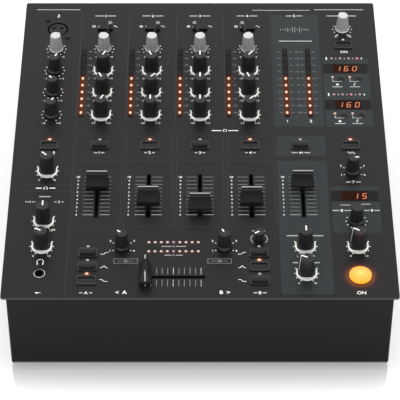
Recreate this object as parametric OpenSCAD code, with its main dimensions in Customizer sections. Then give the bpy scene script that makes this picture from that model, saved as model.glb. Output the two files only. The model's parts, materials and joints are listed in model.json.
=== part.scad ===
// Four channel DJ mixer with an effect section, channel faders and a crossfader.
// Millimetres. +Z is up, +Y points to the rear with its sockets, and +X to the effect section.
// The origin is on the table, below the middle of the top panel.

/* [Case] */
// Width of the top panel
panel_w = 320; // [316:1:335]
// Depth of the top panel
panel_d = 370; // [366:1:385]
// Thickness of the top panel
panel_t = 2; // [1.5:0.1:2.6]
// Corner radius of the top panel
panel_corner_r = 2; // [1:0.1:4]
// Height of the body, from the bottom plate to the underside of the top panel
body_h = 81; // [79:1:95]
// How far the top panel stands out over the front and the sides
panel_overhang = 3.8; // [2:0.1:4.5]
// How far the rear panel is set back below the top panel
rear_inset = 10; // [10:0.5:14]
// Thickness of the steel sheet of the body
sheet_t = 1.2; // [0.8:0.1:1.6]
// Outer radius of the body's folded corners
body_corner_r = 2.4; // [1.8:0.1:4]
// Number of slots in each row of vents in the bottom plate
vent_count = 12; // [4:1:14]
// Length of a vent slot
vent_l = 22; // [10:1:26]
// Width of a vent slot
vent_w = 2.6; // [2:0.1:3.4]

/* [Feet] */
// Radius of a foot on the table
foot_r = 10; // [8:0.5:12]
// Height of a foot
foot_h = 5; // [4:0.5:8]
// Distance from a foot's centre to the edges of the top panel
foot_inset = 38; // [30:1:60]
// Radius of the screw recess under a foot
foot_recess_r = 3.6; // [3:0.1:4.5]

/* [Panel layout] */
// Distance between the columns of controls
col_pitch = 43.2; // [42.8:0.1:44.4]
// Distance between the four upper rows of knobs
row_pitch = 29.2; // [28.6:0.1:29.6]
// Place of the gain row
gain_row_y = 119.8; // [119:0.1:120.6]
// Place of the row of input toggles and of the microphone socket
input_row_y = 146; // [145.5:0.1:147]
// Place of the row of cue buttons
cue_row_y = -6.8; // [-7.4:0.1:-6.4]
// Distance from a button's centre to its lamp
lamp_offset = 7.3; // [7:0.1:7.6]
// Middle of the channel fader travel
fader_mid_y = -68.5; // [-69:0.1:-68]
// Middle of the crossfader travel
crossfader_at_x = -21.6; // [-22:0.1:-21]
// Line of the crossfader
crossfader_at_y = -162; // [-163:0.1:-161]
// Line of the round effect switch
effect_on_y = -161; // [-162:0.1:-160]
// Line of the headphone socket
phones_row_y = -158; // [-159:0.1:-157]
// Distance between the buttons of a three band kill switch
kill_pitch = 15.4; // [15:0.1:15.8]

/* [Rotary controls] */
// Radius of a control shaft
shaft_r = 3; // [2.8:0.05:3.1]
// Running clearance of a moving shaft, pin or rod
run_gap = 0.08; // [0.05:0.01:0.1]
// Play between pieces that are pushed together
push_gap = 0.05; // [0.03:0.01:0.08]
// Thickness of the flat cut off a shaft's end
flat_cut = 1; // [0.6:0.1:1.4]
// Height of a tall knob above the panel
tall_knob_h = 19; // [17:0.1:19.5]
// Radius of a tall knob at its foot
tall_knob_foot_r = 6.4; // [6:0.1:7]
// Radius of a tall knob at its top
tall_knob_top_r = 5.2; // [5:0.1:5.8]
// Gap below a tall knob
tall_knob_gap = 2.2; // [1.6:0.1:2.6]
// Height of a skirted knob above the panel
skirt_knob_h = 16.5; // [15:0.1:18]
// Radius of a skirted knob's flared skirt
skirt_r = 6.5; // [6.3:0.1:7]
// Radius of a skirted knob's grip at its foot
skirt_knob_foot_r = 5.7; // [5.5:0.1:6]
// Radius of a skirted knob at its top
skirt_knob_top_r = 4.6; // [4.5:0.1:5]
// Gap below a skirted knob
skirt_knob_gap = 0.9; // [0.6:0.1:1.2]
// Height of the small curve knob
small_knob_h = 9; // [7.5:0.1:11]
// Radius of the small curve knob
small_knob_r = 4.2; // [4.1:0.1:5]
// Number of flutes round a knob
flute_count = 18; // [12:1:24]
// Depth of a flute
flute_depth = 0.5; // [0.3:0.05:0.6]
// Width of the pointer line cut in a knob
pointer_w = 1; // [0.8:0.1:1.4]

/* [Faders] */
// Travel of a fader
fader_travel = 45; // [40:1:46]
// Width of a fader cap at its foot
cap_foot_w = 19.5; // [18:0.1:20]
// Width of a fader cap at its ridge
cap_ridge_w = 17.3; // [16:0.1:17.8]
// Depth of a fader cap at its foot
cap_foot_d = 10.6; // [9.6:0.1:11.4]
// Depth of a fader cap's ridge
cap_ridge_d = 3; // [2.6:0.1:3.6]
// Height of a fader cap's ridge above the panel
cap_top = 17.3; // [16:0.1:18.5]
// Gap below a fader cap
cap_gap = 2; // [1.6:0.1:2.6]
// Width of a fader slot in the panel
slot_w = 3; // [2.4:0.1:3.6]
// Thickness of the blade that carries a cap
blade_t = 1.2; // [1:0.1:1.6]
// Length of the blade along the slot
blade_l = 6; // [5:0.1:7]
// Radius of a guide rod
rod_r = 1; // [0.9:0.05:1.2]

/* [Buttons and toggles] */
// Width of a push button cap
button_w = 13; // [12:0.1:13.4]
// Depth of a push button cap
button_d = 6.3; // [6:0.1:6.6]
// Height of a push button cap
button_h = 7; // [6.6:0.1:7.4]
// Travel of a push button
button_travel = 3; // [2.6:0.1:3.2]
// How far a latched cap stands above the panel
latched_proud = 0.5; // [0.3:0.1:0.9]
// Clearance round a cap in its bezel
button_gap = 0.2; // [0.15:0.05:0.3]
// Radius of a small round tempo button
tempo_r = 2.9; // [2.6:0.1:3.1]
// Radius of the round effect switch
effect_r = 9; // [8.6:0.1:9.4]
// Height of the effect switch above the panel
effect_proud = 4.6; // [4.2:0.1:5.2]
// Lean of a toggle lever to either side
toggle_lean = 15; // [12:1:16]
// Length of a toggle lever from its pivot
toggle_l = 21; // [19:0.5:24]
// Tilt of the power rocker to either side
rocker_tilt = 8; // [6:1:9]

/* [Lamps and windows] */
// Radius of a round lamp
lamp_r = 1.3; // [1.1:0.05:1.4]
// Length of a level meter window
meter_l = 90.5; // [88:0.5:91]
// Width of a level meter window
meter_w = 4.6; // [4:0.1:5]
// Lamps in a level meter
meter_lamps = 10; // [6:1:12]
// Width of a display window
display_w = 40; // [38:0.5:41]
// Depth of a display window
display_d = 13.4; // [12.6:0.1:13.8]

/* [Sockets] */
// Bore radius of the headphone socket
phones_r = 3.2; // [3.18:0.01:3.25]
// Depth of the headphone socket
phones_l = 22; // [20:1:30]
// Radius of the plug space in a three pin socket
xlr_r = 9.4; // [9.2:0.1:9.8]
// Radius of a phono socket's barrel
phono_r = 4.15; // [4.1:0.05:4.2]
// Distance between the phono sockets of neighbouring inputs
phono_pitch = 15; // [14.5:0.1:15.2]

/* [Hidden] */
$fn = 48;

// Heights
z_under = foot_h + body_h;
z_top = z_under + panel_t;
floor_z = foot_h + sheet_t;
board_drop = 18;
board_t = 1.6;
board_z = z_under - board_drop;
solder_gap = 0.1;
part_z = board_z + solder_gap;

// Body and boards
body_w = panel_w - 2 * panel_overhang;
body_front_y = -panel_d / 2 + panel_overhang;
rear_y = panel_d / 2 - rear_inset;
rear_t = 1.5;
rear_in_y = rear_y - rear_t;
inner_w = body_w - 2 * sheet_t;
board_w = inner_w - 12;
board_front_y = body_front_y + sheet_t + 6;
board_rear_y = rear_in_y - 4;
pillar_r = 3;
post_r = 3;

// Columns and rows of controls
MIC = 0;
MASTER = 5;
EFFECT = 6;
// Places are given for the nominal panel, and spread with the panel when it changes
NOMINAL_W = 320;
NOMINAL_D = 370;
function across(x) = x * panel_w / NOMINAL_W;
function along(y) = y * panel_d / NOMINAL_D;
function col(i) = across((i - 3) * col_pitch);
function row(i) = along(gain_row_y - i * row_pitch);
input_y = along(input_row_y);
cue_y = along(cue_row_y);
fader_y = along(fader_mid_y);
crossfader_at = [across(crossfader_at_x), along(crossfader_at_y)];
section_row_y = along(-38.8);
select_row_y = along(-98.6);
depth_row_y = along(-127.7);
booth_row_y = along(-158);
surround_at = [col(EFFECT), along(147.6)];
curve_at = [across(48.6), along(-119)];
assign_a_at = [across(-63.8), along(-128)];
assign_b_at = [across(20), along(-128)];
mic_knob_at = [for (r = [0 : 3]) [col(MIC), row(r)]];
channel_knob_at = [for (c = [1 : 4]) [for (r = [0 : 3]) [col(c), row(r)]]];
phones_knob_at = [for (y = [section_row_y, select_row_y, depth_row_y]) [col(MIC), y]];
effect_knob_at = [for (y = [section_row_y, select_row_y, depth_row_y]) [col(EFFECT), y]];
master_knob_at = [for (y = [depth_row_y, booth_row_y]) [col(MASTER), y]];
ROTARY_AT = concat(
    mic_knob_at, [for (strip = channel_knob_at) each strip], phones_knob_at,
    effect_knob_at, master_knob_at, [surround_at, assign_a_at, assign_b_at, curve_at]
);

// Potentiometers below the panel
pot_w = 11;
pot_h = 8;
bush_r = 3.8;
pot_z = part_z + pot_h;
shaft_z = part_z + 4;
shaft_hole_r = shaft_r + 0.3;
shaft_grip = 6;

// Knob details
knob_bevel = 0.5;
pointer_depth = 0.35;
knob_hub_r = shaft_r + 1.1;
knob_skin = 1.2;
knob_recess = 4;
skirt_h = 1;
flare_h = 1.6;
nub_w = 1.3;
nub_out = 0.8;
nub_h = 4.5;

// Faders
FADER_COLS = [1, 2, 3, 4, MASTER];
fader_rest = [11.9, -6.5, -14.5, -7, 12.5];
crossfader_rest = -fader_travel / 2;
carriage_l = 12;
carriage_w = 11;
carriage_h = 6;
frame_wall = 1;
frame_end_t = 1.5;
frame_l = fader_travel + carriage_l + 2 * frame_end_t + 2;
frame_w = carriage_w + 0.8 + 2 * frame_wall;
frame_h = 13;
rod_z = z_under - 8;
rod_x = 3.6;
slot_l = fader_travel + blade_l + 0.8;
cap_h = cap_top - cap_gap;
cap_skirt_h = 2.4;
cap_flank_r = 34;
cap_line_w = 1.2;
cap_line_depth = 0.3;
blade_into_cap = 8;

// Buttons
cue_released_at = [for (c = [1, 3, MASTER]) [col(c), cue_y]];
surround_button_at = [col(EFFECT), along(125.4)];
cue_latched_at = concat([for (c = [MIC, 2, 4, EFFECT]) [col(c), cue_y]], [surround_button_at]);
kill_a_x = across(-91.6);
kill_b_x = across(48.3);
kill_top_y = along(-135);
function kill_y(i) = kill_top_y - i * kill_pitch;
kill_released_at = [
    [kill_a_x, kill_y(0)], [kill_a_x, kill_y(1)], [kill_b_x, kill_y(0)], [kill_b_x, kill_y(2)]
];
kill_latched_at = [[kill_a_x, kill_y(2)], [kill_b_x, kill_y(1)]];
RECT_BUTTON_AT = concat(cue_released_at, cue_latched_at, kill_released_at, kill_latched_at);
tempo_rows_y = [along(80.6), along(32.6)];
tempo_button_at = [for (y = tempo_rows_y) for (x = [-4.1, 11.4]) [col(EFFECT) + x, y]];
tempo_proud = 1.5;
tempo_travel = 0.8;
effect_on_at = [col(EFFECT), along(effect_on_y)];
effect_travel = 1.5;
effect_edge_h = 2.2;
button_corner_r = 1.2;
button_crown_r = 9;
round_button_h = 6;
stem_r = 1.5;
stem_l = 10;
bezel_side = 1.5;
bezel_front = 1.9;
bezel_h = 1.1;
bezel_corner_r = 2;
collar_t = 0.7;
ring_w = 1.1;
ring_h = 0.5;
stem_end_gap = 0.5;

// Push switches: a pressed cap stops short of its switch
pressed_cap_z = z_top + latched_proud - button_h;
switch_top = pressed_cap_z - 0.8;
rect_switch = [12, 6.6];
round_switch = [7, 7];
stem_bore_z = pressed_cap_z - stem_l - stem_end_gap;

// Toggles
TOGGLE_LEAN = [1, 1, -1, -1];
toggle_slot = [14, 5];
toggle_body = [13.4, 8];
toggle_well = [10.6, 4.6];
trunnion_r = 1.8;
trunnion_l = 7.6;
toggle_pivot_z = z_under - 8;
toggle_well_z = toggle_pivot_z - trunnion_r - 1;
lever_root_r = 1.4;
lever_tip_r = 1.9;

// Lamps
cue_lamp_at = [for (c = [0 : 6]) [col(c), cue_y + lamp_offset]];
kill_lamp_at = [for (x = [kill_a_x, kill_b_x]) for (i = [0 : 2]) [x, kill_y(i) + lamp_offset]];
surround_lamp_at = surround_button_at + [0, lamp_offset];
tempo_lamp_at = [for (y = tempo_rows_y) for (x = [-11.7, 3.6]) [col(EFFECT) + x, y + 1]];
beat_rows_y = [along(107), along(58.5)];
beat_pitch = 7.6;
beat_lamp_at = [for (y = beat_rows_y) for (i = [-1.5 : 1.5]) [col(EFFECT) - 0.1 + beat_pitch * i, y]];
counter_rows_y = [along(-123), along(-133.3)];
counter_pitch = 5.06;
counter_lamp_at = [
    for (y = counter_rows_y) for (i = [-4 : 4]) [crossfader_at[0] + i * counter_pitch, y]
];
LAMP_AT = concat(
    cue_lamp_at, kill_lamp_at, [surround_lamp_at], tempo_lamp_at, beat_lamp_at, counter_lamp_at
);
lamp_proud = 0.7;
lamp_rim_h = 0.1;
lamp_hole_r = lamp_r + 0.1;
meter_mid_y = along(74.8);
meter_pitch = 9;
meter_lamps_y = meter_mid_y + 0.7;
METER_X = concat(
    [for (c = [1 : 4]) col(c) - across(17.7)], [for (s = [-1, 1]) col(MASTER) + s * across(10.2)]
);
display_at = [for (y = [93.2, 45.2, -68.8]) [col(EFFECT) + 0.4, along(y)]];
lens_flange = 1;
lens_flange_t = 1;
array_top = z_under - lens_flange_t - 0.3;
array_lamp_h = 0.5;

// Sockets of the top panel
mic_socket_at = [col(MIC), input_y + 1.5];
mic_core_r = xlr_r - 1.5;
xlr_plate = [26, 31];
xlr_plate_t = 1.6;
mic_depth = 20;
mic_floor_t = 3;
xlr_wall = 2.2;
xlr_pin_circle_r = 4;
xlr_pin_r = 1.15;
xlr_pin_l = 11;
XLR_PIN_ANGLES = [30, 150, 270];
phones_at = [col(MIC) - 0.4, along(phones_row_y)];
phones_neck_r = 4.2;
phones_neck_h = 0.4;
phones_body = [16, 16];

// Rear panel sockets
phono_rows_z = [39, 57];
phono_l = 8.6;
phono_pin_r = 1.6;
phono_block_d = 12;
phono_margin = 6;
audio_board_z = phono_rows_z[0] - 8;
phono_x = [for (i = [0 : 7]) across(-133 + i * phono_pitch)];
output_phono_x = [for (i = [0 : 1]) across(5 + i * phono_pitch)];
PHONO_X = concat(phono_x, output_phono_x);
digital_x = across(5 + 2 * phono_pitch);
xlr_out_x = [across(55), across(83)];
xlr_out_z = 48;
xlr_out_l = 20;
xlr_cavity_l = 15;
ground_x = [for (i = [1, 5]) (phono_x[i] + phono_x[i + 1]) / 2];
ground_z = 18;
ground_stud_r = 2;
audio_board_d = 60;
audio_board_x = [across(-143), across(98)];
power_x = across(125);
inlet_z = 24;
inlet_plate = [48, 23];
inlet_plate_t = 1.8;
inlet_body = [28, 20];
inlet_cavity = [24, 16.4];
inlet_cavity_l = 15;
inlet_cut = 3.6;
inlet_body_l = 20;
inlet_blade = [2, 4];
rocker_z = 51;
rocker_w = 12;
rocker_half_h = 8.6;
rocker_pin_r = 1.2;
rocker_pivot_y = rear_y - 1;
rocker_plate = [20, 25.6];
rocker_plate_t = 1.5;
rocker_wall = 2;
rocker_gap = 0.3;
rocker_end_gap = 0.6;
rocker_well = 5.5;
rocker_body = [
    rocker_w + 2 * (rocker_gap + rocker_wall), 2 * (rocker_half_h + rocker_end_gap + rocker_wall)
];

// Power supply
supply_at = [across(92), along(52)];
supply_board = [100, 84];
supply_post_h = 6;
supply_z = floor_z + supply_post_h;
supply_top = supply_z + board_t;

// Fits of fixed pieces
hole_gap = 0.3;
rear_slide_gap = 0.2;
shaft_end_gap = 0.3;

// Pillars that carry the control board below the panel
pillar_side_x = board_w / 2 - pillar_r - 1;
pillar_front_y = board_front_y + 3 * pillar_r;
pillar_rear_y = board_rear_y - 2 * pillar_r;
PILLAR_AT = concat(
    [for (x = [-1, 1]) for (y = [pillar_front_y, along(8)]) [x * pillar_side_x, y]],
    [for (x = [across(-72.5), across(28.5)]) [x, pillar_front_y]],
    [for (x = [col(0.5), col(2.5), col(4.5), pillar_side_x]) [x, pillar_rear_y]]
);

// Shapes shared by several pieces

module rounded_rect(w, d, r) {
    square([w - 2 * r, d], center = true);
    square([w, d - 2 * r], center = true);
    for (x = [-1, 1]) for (y = [-1, 1]) translate([x * (w / 2 - r), y * (d / 2 - r)]) circle(r = r);
}

// A block of height h that stands at height z, centred in x and y
module block(size, z, h) {
    translate([-size[0] / 2, -size[1] / 2, z]) cube([size[0], size[1], h]);
}

// Children at each [x, y] of a list
module at_each(places) {
    for (p = places) translate([p[0], p[1], 0]) children();
}

// Turns a control clockwise from the rear, as its pointer is read
module aim(angle) {
    rotate([0, 0, -angle]) children();
}

// Stands a shape on the inside of the rear panel, pointing out, with its y upwards
module out_of_rear(x, z) {
    translate([x, rear_in_y, z]) rotate([90, 0, 180]) children();
}

// Rotary controls: a knob pushed on the D shaped end of a shaft

module shaft(grip_z) {
    difference() {
        translate([0, 0, shaft_z]) cylinder(r = shaft_r, h = grip_z + shaft_grip - shaft_z);
        translate([shaft_r - flat_cut, -shaft_r, grip_z])
            cube([flat_cut + 1, 2 * shaft_r, shaft_grip + 1]);
    }
}

module shaft_socket(grip_z) {
    difference() {
        translate([0, 0, grip_z - 1]) cylinder(r = shaft_r + push_gap, h = shaft_grip + 1 + push_gap);
        translate([shaft_r - flat_cut + push_gap, -shaft_r - 1, grip_z + push_gap])
            cube([flat_cut + 1, 2 * shaft_r + 2, shaft_grip + 1]);
    }
}

// Flutes cut along the tapered side of a grip, clear of its pointer
module flutes(foot_radius, top_radius, z0, z1) {
    lean = atan((foot_radius - top_radius) / (z1 - z0));
    for (i = [0 : flute_count - 1])
        rotate([0, 0, 90 + (i + 0.5) * 360 / flute_count])
            translate([foot_radius, 0, z0])
                rotate([0, -lean, 0]) cylinder(r = flute_depth, h = z1 - z0 + 2, $fn = 4);
}

// Line from the middle of a knob's top over its rim
module top_line(head_z, from_y, to_y) {
    translate([-pointer_w / 2, from_y, head_z - pointer_depth]) cube([pointer_w, to_y - from_y, 1]);
}

// Line down the side of a tapered knob
module side_line(foot_radius, top_radius, z0, z1) {
    lean = atan((foot_radius - top_radius) / (z1 - z0));
    translate([0, foot_radius - pointer_depth, z0])
        rotate([lean, 0, 0])
            translate([-pointer_w / 2, 0, knob_bevel]) cube([pointer_w, 2, z1 - z0 + 1]);
}

// Tall fluted knob, hollow below, with a hub for the shaft
module tall_cap() {
    foot_z = z_top + tall_knob_gap;
    head_z = z_top + tall_knob_h;
    difference() {
        rotate_extrude() polygon([
            [0, foot_z], [knob_hub_r, foot_z], [knob_hub_r, foot_z + knob_recess],
            [tall_knob_foot_r - knob_skin, foot_z + knob_recess],
            [tall_knob_foot_r - knob_skin, foot_z],
            [tall_knob_foot_r, foot_z], [tall_knob_top_r, head_z - knob_bevel],
            [tall_knob_top_r - knob_bevel, head_z], [0, head_z]
        ]);
        flutes(tall_knob_foot_r, tall_knob_top_r, foot_z + 1, head_z - knob_bevel);
        top_line(head_z, 0, tall_knob_foot_r);
        side_line(tall_knob_foot_r, tall_knob_top_r, foot_z, head_z);
        shaft_socket(foot_z);
    }
}

// Shorter knob with a flared skirt, and on some a nub that points from its rim
module skirted_cap(pointer, nub) {
    foot_z = z_top + skirt_knob_gap;
    head_z = z_top + skirt_knob_h;
    grip_z = foot_z + skirt_h + flare_h;
    difference() {
        union() {
            difference() {
                rotate_extrude() polygon([
                    [0, foot_z], [skirt_r, foot_z], [skirt_r, foot_z + skirt_h],
                    [skirt_knob_foot_r, grip_z], [skirt_knob_top_r, head_z - knob_bevel],
                    [skirt_knob_top_r - knob_bevel, head_z], [0, head_z]
                ]);
                flutes(skirt_knob_foot_r, skirt_knob_top_r, grip_z + 0.4, head_z - knob_bevel);
            }
            if (nub)
                translate([-nub_w / 2, 0, head_z - knob_bevel - nub_h])
                    cube([nub_w, skirt_knob_top_r + nub_out, nub_h]);
        }
        if (pointer) top_line(head_z, skirt_knob_top_r * 0.3, skirt_r);
        shaft_socket(foot_z);
    }
}

module small_cap() {
    foot_z = z_top + skirt_knob_gap;
    head_z = z_top + small_knob_h;
    difference() {
        rotate_extrude() polygon([
            [0, foot_z], [small_knob_r, foot_z], [small_knob_r, head_z - knob_bevel],
            [small_knob_r - knob_bevel, head_z], [0, head_z]
        ]);
        top_line(head_z, 0, small_knob_r + 1);
        shaft_socket(foot_z);
    }
}

module tall_rotary(place, angle) {
    translate([place[0], place[1], 0]) aim(angle) {
        color("#1e1e1f") tall_cap();
        color("silver") shaft(z_top + tall_knob_gap);
    }
}

module skirted_rotary(place, angle, cap_colour = "#1e1e1f", pointer = true, nub = false) {
    translate([place[0], place[1], 0]) aim(angle) {
        color(cap_colour) skirted_cap(pointer, nub);
        color("silver") shaft(z_top + skirt_knob_gap);
    }
}

module gain_rotary(place, angle) {
    skirted_rotary(place, angle, cap_colour = "#77797c", nub = true);
}

module mic_level_knob() { gain_rotary(mic_knob_at[0], 35); }
module mic_high_knob() { skirted_rotary(mic_knob_at[1], 35); }
module mic_mid_knob() { skirted_rotary(mic_knob_at[2], -37); }
module mic_low_knob() { skirted_rotary(mic_knob_at[3], 30); }
module ch1_gain_knob() { gain_rotary(channel_knob_at[0][0], -27); }
module ch1_high_knob() { tall_rotary(channel_knob_at[0][1], 27); }
module ch1_mid_knob() { tall_rotary(channel_knob_at[0][2], -25); }
module ch1_low_knob() { tall_rotary(channel_knob_at[0][3], 25); }
module ch2_gain_knob() { gain_rotary(channel_knob_at[1][0], -25); }
module ch2_high_knob() { tall_rotary(channel_knob_at[1][1], -22); }
module ch2_mid_knob() { tall_rotary(channel_knob_at[1][2], 42); }
module ch2_low_knob() { tall_rotary(channel_knob_at[1][3], 0); }
module ch3_gain_knob() { gain_rotary(channel_knob_at[2][0], 20); }
module ch3_high_knob() { tall_rotary(channel_knob_at[2][1], 0); }
module ch3_mid_knob() { tall_rotary(channel_knob_at[2][2], 0); }
module ch3_low_knob() { tall_rotary(channel_knob_at[2][3], 0); }
module ch4_gain_knob() { gain_rotary(channel_knob_at[3][0], 10); }
module ch4_high_knob() { tall_rotary(channel_knob_at[3][1], 35); }
module ch4_mid_knob() { tall_rotary(channel_knob_at[3][2], -20); }
module ch4_low_knob() { tall_rotary(channel_knob_at[3][3], 45); }
module talkover_level_knob() { tall_rotary(phones_knob_at[0], -42); }
module headphone_mix_knob() { tall_rotary(phones_knob_at[1], 0); }
module headphone_level_knob() { tall_rotary(phones_knob_at[2], -60); }
module surround_knob() { gain_rotary(surround_at, -30); }
module effect_source_knob() { skirted_rotary(effect_knob_at[0], 85); }
module effect_select_knob() { skirted_rotary(effect_knob_at[1], 0, pointer = false); }
module effect_depth_knob() { tall_rotary(effect_knob_at[2], -60); }
module master_balance_knob() { tall_rotary(master_knob_at[0], 0); }
module booth_level_knob() { tall_rotary(master_knob_at[1], -65); }
module assign_a_knob() { skirted_rotary(assign_a_at, -52); }
module assign_b_knob() { skirted_rotary(assign_b_at, -25); }

module crossfade_curve_knob() {
    translate([curve_at[0], curve_at[1], 0]) aim(-120) {
        color("#1e1e1f") small_cap();
        color("silver") shaft(z_top + skirt_knob_gap);
    }
}

// Input toggles: a lever on a trunnion

module input_toggle(channel) {
    color("#8f9194") translate([col(channel + 1), input_y, toggle_pivot_z]) {
        rotate([90, 0, 0]) cylinder(r = trunnion_r, h = trunnion_l, center = true);
        rotate([0, TOGGLE_LEAN[channel] * toggle_lean, 0]) {
            cylinder(r1 = lever_root_r, r2 = lever_tip_r, h = toggle_l - lever_tip_r);
            translate([0, 0, toggle_l - lever_tip_r]) sphere(r = lever_tip_r + 0.1);
        }
    }
}

module ch1_input_toggle() { input_toggle(0); }
module ch2_input_toggle() { input_toggle(1); }
module ch3_input_toggle() { input_toggle(2); }
module ch4_input_toggle() { input_toggle(3); }

// Faders: a cap on a blade, whose carriage slides on two rods along Y

// Centre of the circle of radius r through p and q, on the left of the way from p to q
function arc_centre(p, q, r) =
    let (half = norm(q - p) / 2, along = (q - p) / (2 * half))
    (p + q) / 2 + sqrt(r * r - half * half) * [-along[1], along[0]];

// Section of a cap from its foot to its ridge, with a skirt and hollow flanks
module cap_profile(foot, ridge) {
    centre = arc_centre([ridge / 2, cap_h], [foot / 2, cap_skirt_h], cap_flank_r);
    difference() {
        translate([-foot / 2, 0]) square([foot, cap_h]);
        for (side = [-1, 1])
            translate([side * centre[0], centre[1]]) circle(r = cap_flank_r, $fn = 180);
    }
}

module fader_cap() {
    z0 = z_top + cap_gap;
    difference() {
        intersection() {
            translate([-cap_foot_w / 2, 0, z0])
                rotate([90, 0, 90]) linear_extrude(cap_foot_w) cap_profile(cap_foot_d, cap_ridge_d);
            translate([0, cap_foot_d / 2 + 1, z0])
                rotate([90, 0, 0]) linear_extrude(cap_foot_d + 2) cap_profile(cap_foot_w, cap_ridge_w);
        }
        translate([-cap_foot_w / 2, -cap_line_w / 2, z_top + cap_top - cap_line_depth])
            cube([cap_foot_w, cap_line_w, 1]);
        block(
            [blade_t + 2 * push_gap, blade_l + 2 * push_gap],
            z0 - 1, blade_into_cap + 1 + push_gap
        );
    }
}

module fader_slider() {
    shoulder_z = rod_z + carriage_h / 2;
    difference() {
        union() {
            block([carriage_w, carriage_l], rod_z - carriage_h / 2, carriage_h);
            block([blade_t, blade_l], shoulder_z - 1, z_top + cap_gap + blade_into_cap - shoulder_z + 1);
        }
        for (s = [-1, 1])
            translate([s * rod_x, carriage_l, rod_z])
                rotate([90, 0, 0]) cylinder(r = rod_r + run_gap, h = 2 * carriage_l);
    }
}

// Channel that hangs below the panel and holds the guide rods in its ends
module fader_frame() {
    z0 = z_under - frame_h;
    difference() {
        block([frame_w, frame_l], z0, frame_h);
        block([frame_w - 2 * frame_wall, frame_l - 2 * frame_end_t], z0 + frame_wall, frame_h);
    }
    for (s = [-1, 1])
        translate([s * rod_x, (frame_l - frame_end_t) / 2, rod_z])
            rotate([90, 0, 0]) cylinder(r = rod_r, h = frame_l - frame_end_t);
}

module fader() {
    color("#1b1b1c") fader_cap();
    color("#c9c9c4") fader_slider();
}

module channel_fader(i) {
    translate([col(FADER_COLS[i]), fader_y + fader_rest[i], 0]) fader();
}

module ch1_fader() { channel_fader(0); }
module ch2_fader() { channel_fader(1); }
module ch3_fader() { channel_fader(2); }
module ch4_fader() { channel_fader(3); }
module master_fader() { channel_fader(4); }

module crossfader() {
    translate([crossfader_at[0] + crossfader_rest, crossfader_at[1], 0]) rotate([0, 0, 90]) fader();
}

// Buttons: a cap on a stem that runs in its switch

module rect_button(proud) {
    z0 = z_top + proud - button_h;
    intersection() {
        translate([0, 0, z0]) linear_extrude(button_h + 1)
            rounded_rect(button_w, button_d, button_corner_r);
        translate([-button_w, 0, z0 + button_h - button_crown_r])
            rotate([0, 90, 0]) cylinder(r = button_crown_r, h = 2 * button_w);
    }
    translate([0, 0, z0 - stem_l]) cylinder(r = stem_r, h = stem_l + 1);
}

module cue_buttons_released() {
    color("#2b2b2c") at_each(cue_released_at) rect_button(latched_proud + button_travel);
}

module cue_buttons_latched() {
    color("#2b2b2c") at_each(cue_latched_at) rect_button(latched_proud);
}

module kill_buttons_released() {
    color("#2b2b2c") at_each(kill_released_at) rect_button(latched_proud + button_travel);
}

module kill_buttons_latched() {
    color("#2b2b2c") at_each(kill_latched_at) rect_button(latched_proud);
}

// Round cap with a domed top above a straight edge
module round_button(r, proud, edge_h, travel) {
    dome_h = proud - edge_h;
    dome_r = (r * r + dome_h * dome_h) / (2 * dome_h);
    z0 = z_top + edge_h - round_button_h;
    stem_z = stem_bore_z + stem_end_gap + travel;
    intersection() {
        translate([0, 0, z0]) cylinder(r = r, h = round_button_h + dome_h + 1);
        translate([0, 0, z_top + proud - dome_r]) sphere(r = dome_r);
    }
    translate([0, 0, stem_z]) cylinder(r = stem_r, h = z0 + 1 - stem_z);
}

module tempo_buttons() {
    color("#3a3a3c") at_each(tempo_button_at)
        round_button(tempo_r, tempo_proud, tempo_proud / 2, tempo_travel);
}

module effect_on_button() {
    color("orange") at_each([effect_on_at])
        round_button(effect_r, effect_proud, effect_edge_h, effect_travel);
}

// Frame round a rectangular button, with a collar pressed into the panel
module rect_bezel() {
    opening = [button_w + 2 * button_gap, button_d + 2 * button_gap];
    difference() {
        union() {
            translate([0, 0, z_top]) linear_extrude(bezel_h)
                rounded_rect(opening[0] + 2 * bezel_side, opening[1] + 2 * bezel_front, bezel_corner_r);
            translate([0, 0, z_under]) linear_extrude(panel_t + 0.5)
                rounded_rect(
                    opening[0] + 2 * collar_t, opening[1] + 2 * collar_t, button_corner_r + collar_t
                );
        }
        translate([0, 0, z_under - 1]) linear_extrude(panel_t + bezel_h + 2)
            rounded_rect(opening[0], opening[1], button_corner_r);
    }
}

module ring_bezel(r) {
    difference() {
        union() {
            translate([0, 0, z_top]) cylinder(r = r + button_gap + ring_w, h = ring_h);
            translate([0, 0, z_under]) cylinder(r = r + button_gap + collar_t, h = panel_t + ring_h / 2);
        }
        translate([0, 0, z_under - 1]) cylinder(r = r + button_gap, h = panel_t + 3);
    }
}

module button_bezels() {
    color("#141415") {
        at_each(RECT_BUTTON_AT) rect_bezel();
        at_each(tempo_button_at) ring_bezel(tempo_r);
        at_each([effect_on_at]) ring_bezel(effect_r);
    }
}

// Panels and case

module panel_holes() {
    collar_room = 2 * (button_gap + collar_t + push_gap);
    at_each(ROTARY_AT) circle(r = shaft_hole_r);
    at_each(RECT_BUTTON_AT)
        rounded_rect(
            button_w + collar_room, button_d + collar_room, button_corner_r + collar_t + push_gap
        );
    at_each(tempo_button_at) circle(r = tempo_r + collar_room / 2);
    at_each([effect_on_at]) circle(r = effect_r + collar_room / 2);
    at_each(LAMP_AT) circle(r = lamp_hole_r);
    for (c = [1 : 4]) translate([col(c), input_y]) square(toggle_slot, center = true);
    for (c = FADER_COLS) translate([col(c), fader_y]) square([slot_w, slot_l], center = true);
    translate(crossfader_at) square([slot_l, slot_w], center = true);
    for (x = METER_X) translate([x, meter_mid_y]) square([meter_w, meter_l], center = true);
    at_each(display_at) square([display_w, display_d], center = true);
    translate(mic_socket_at) circle(r = xlr_r);
    translate(phones_at) circle(r = phones_neck_r + push_gap);
}

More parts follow.
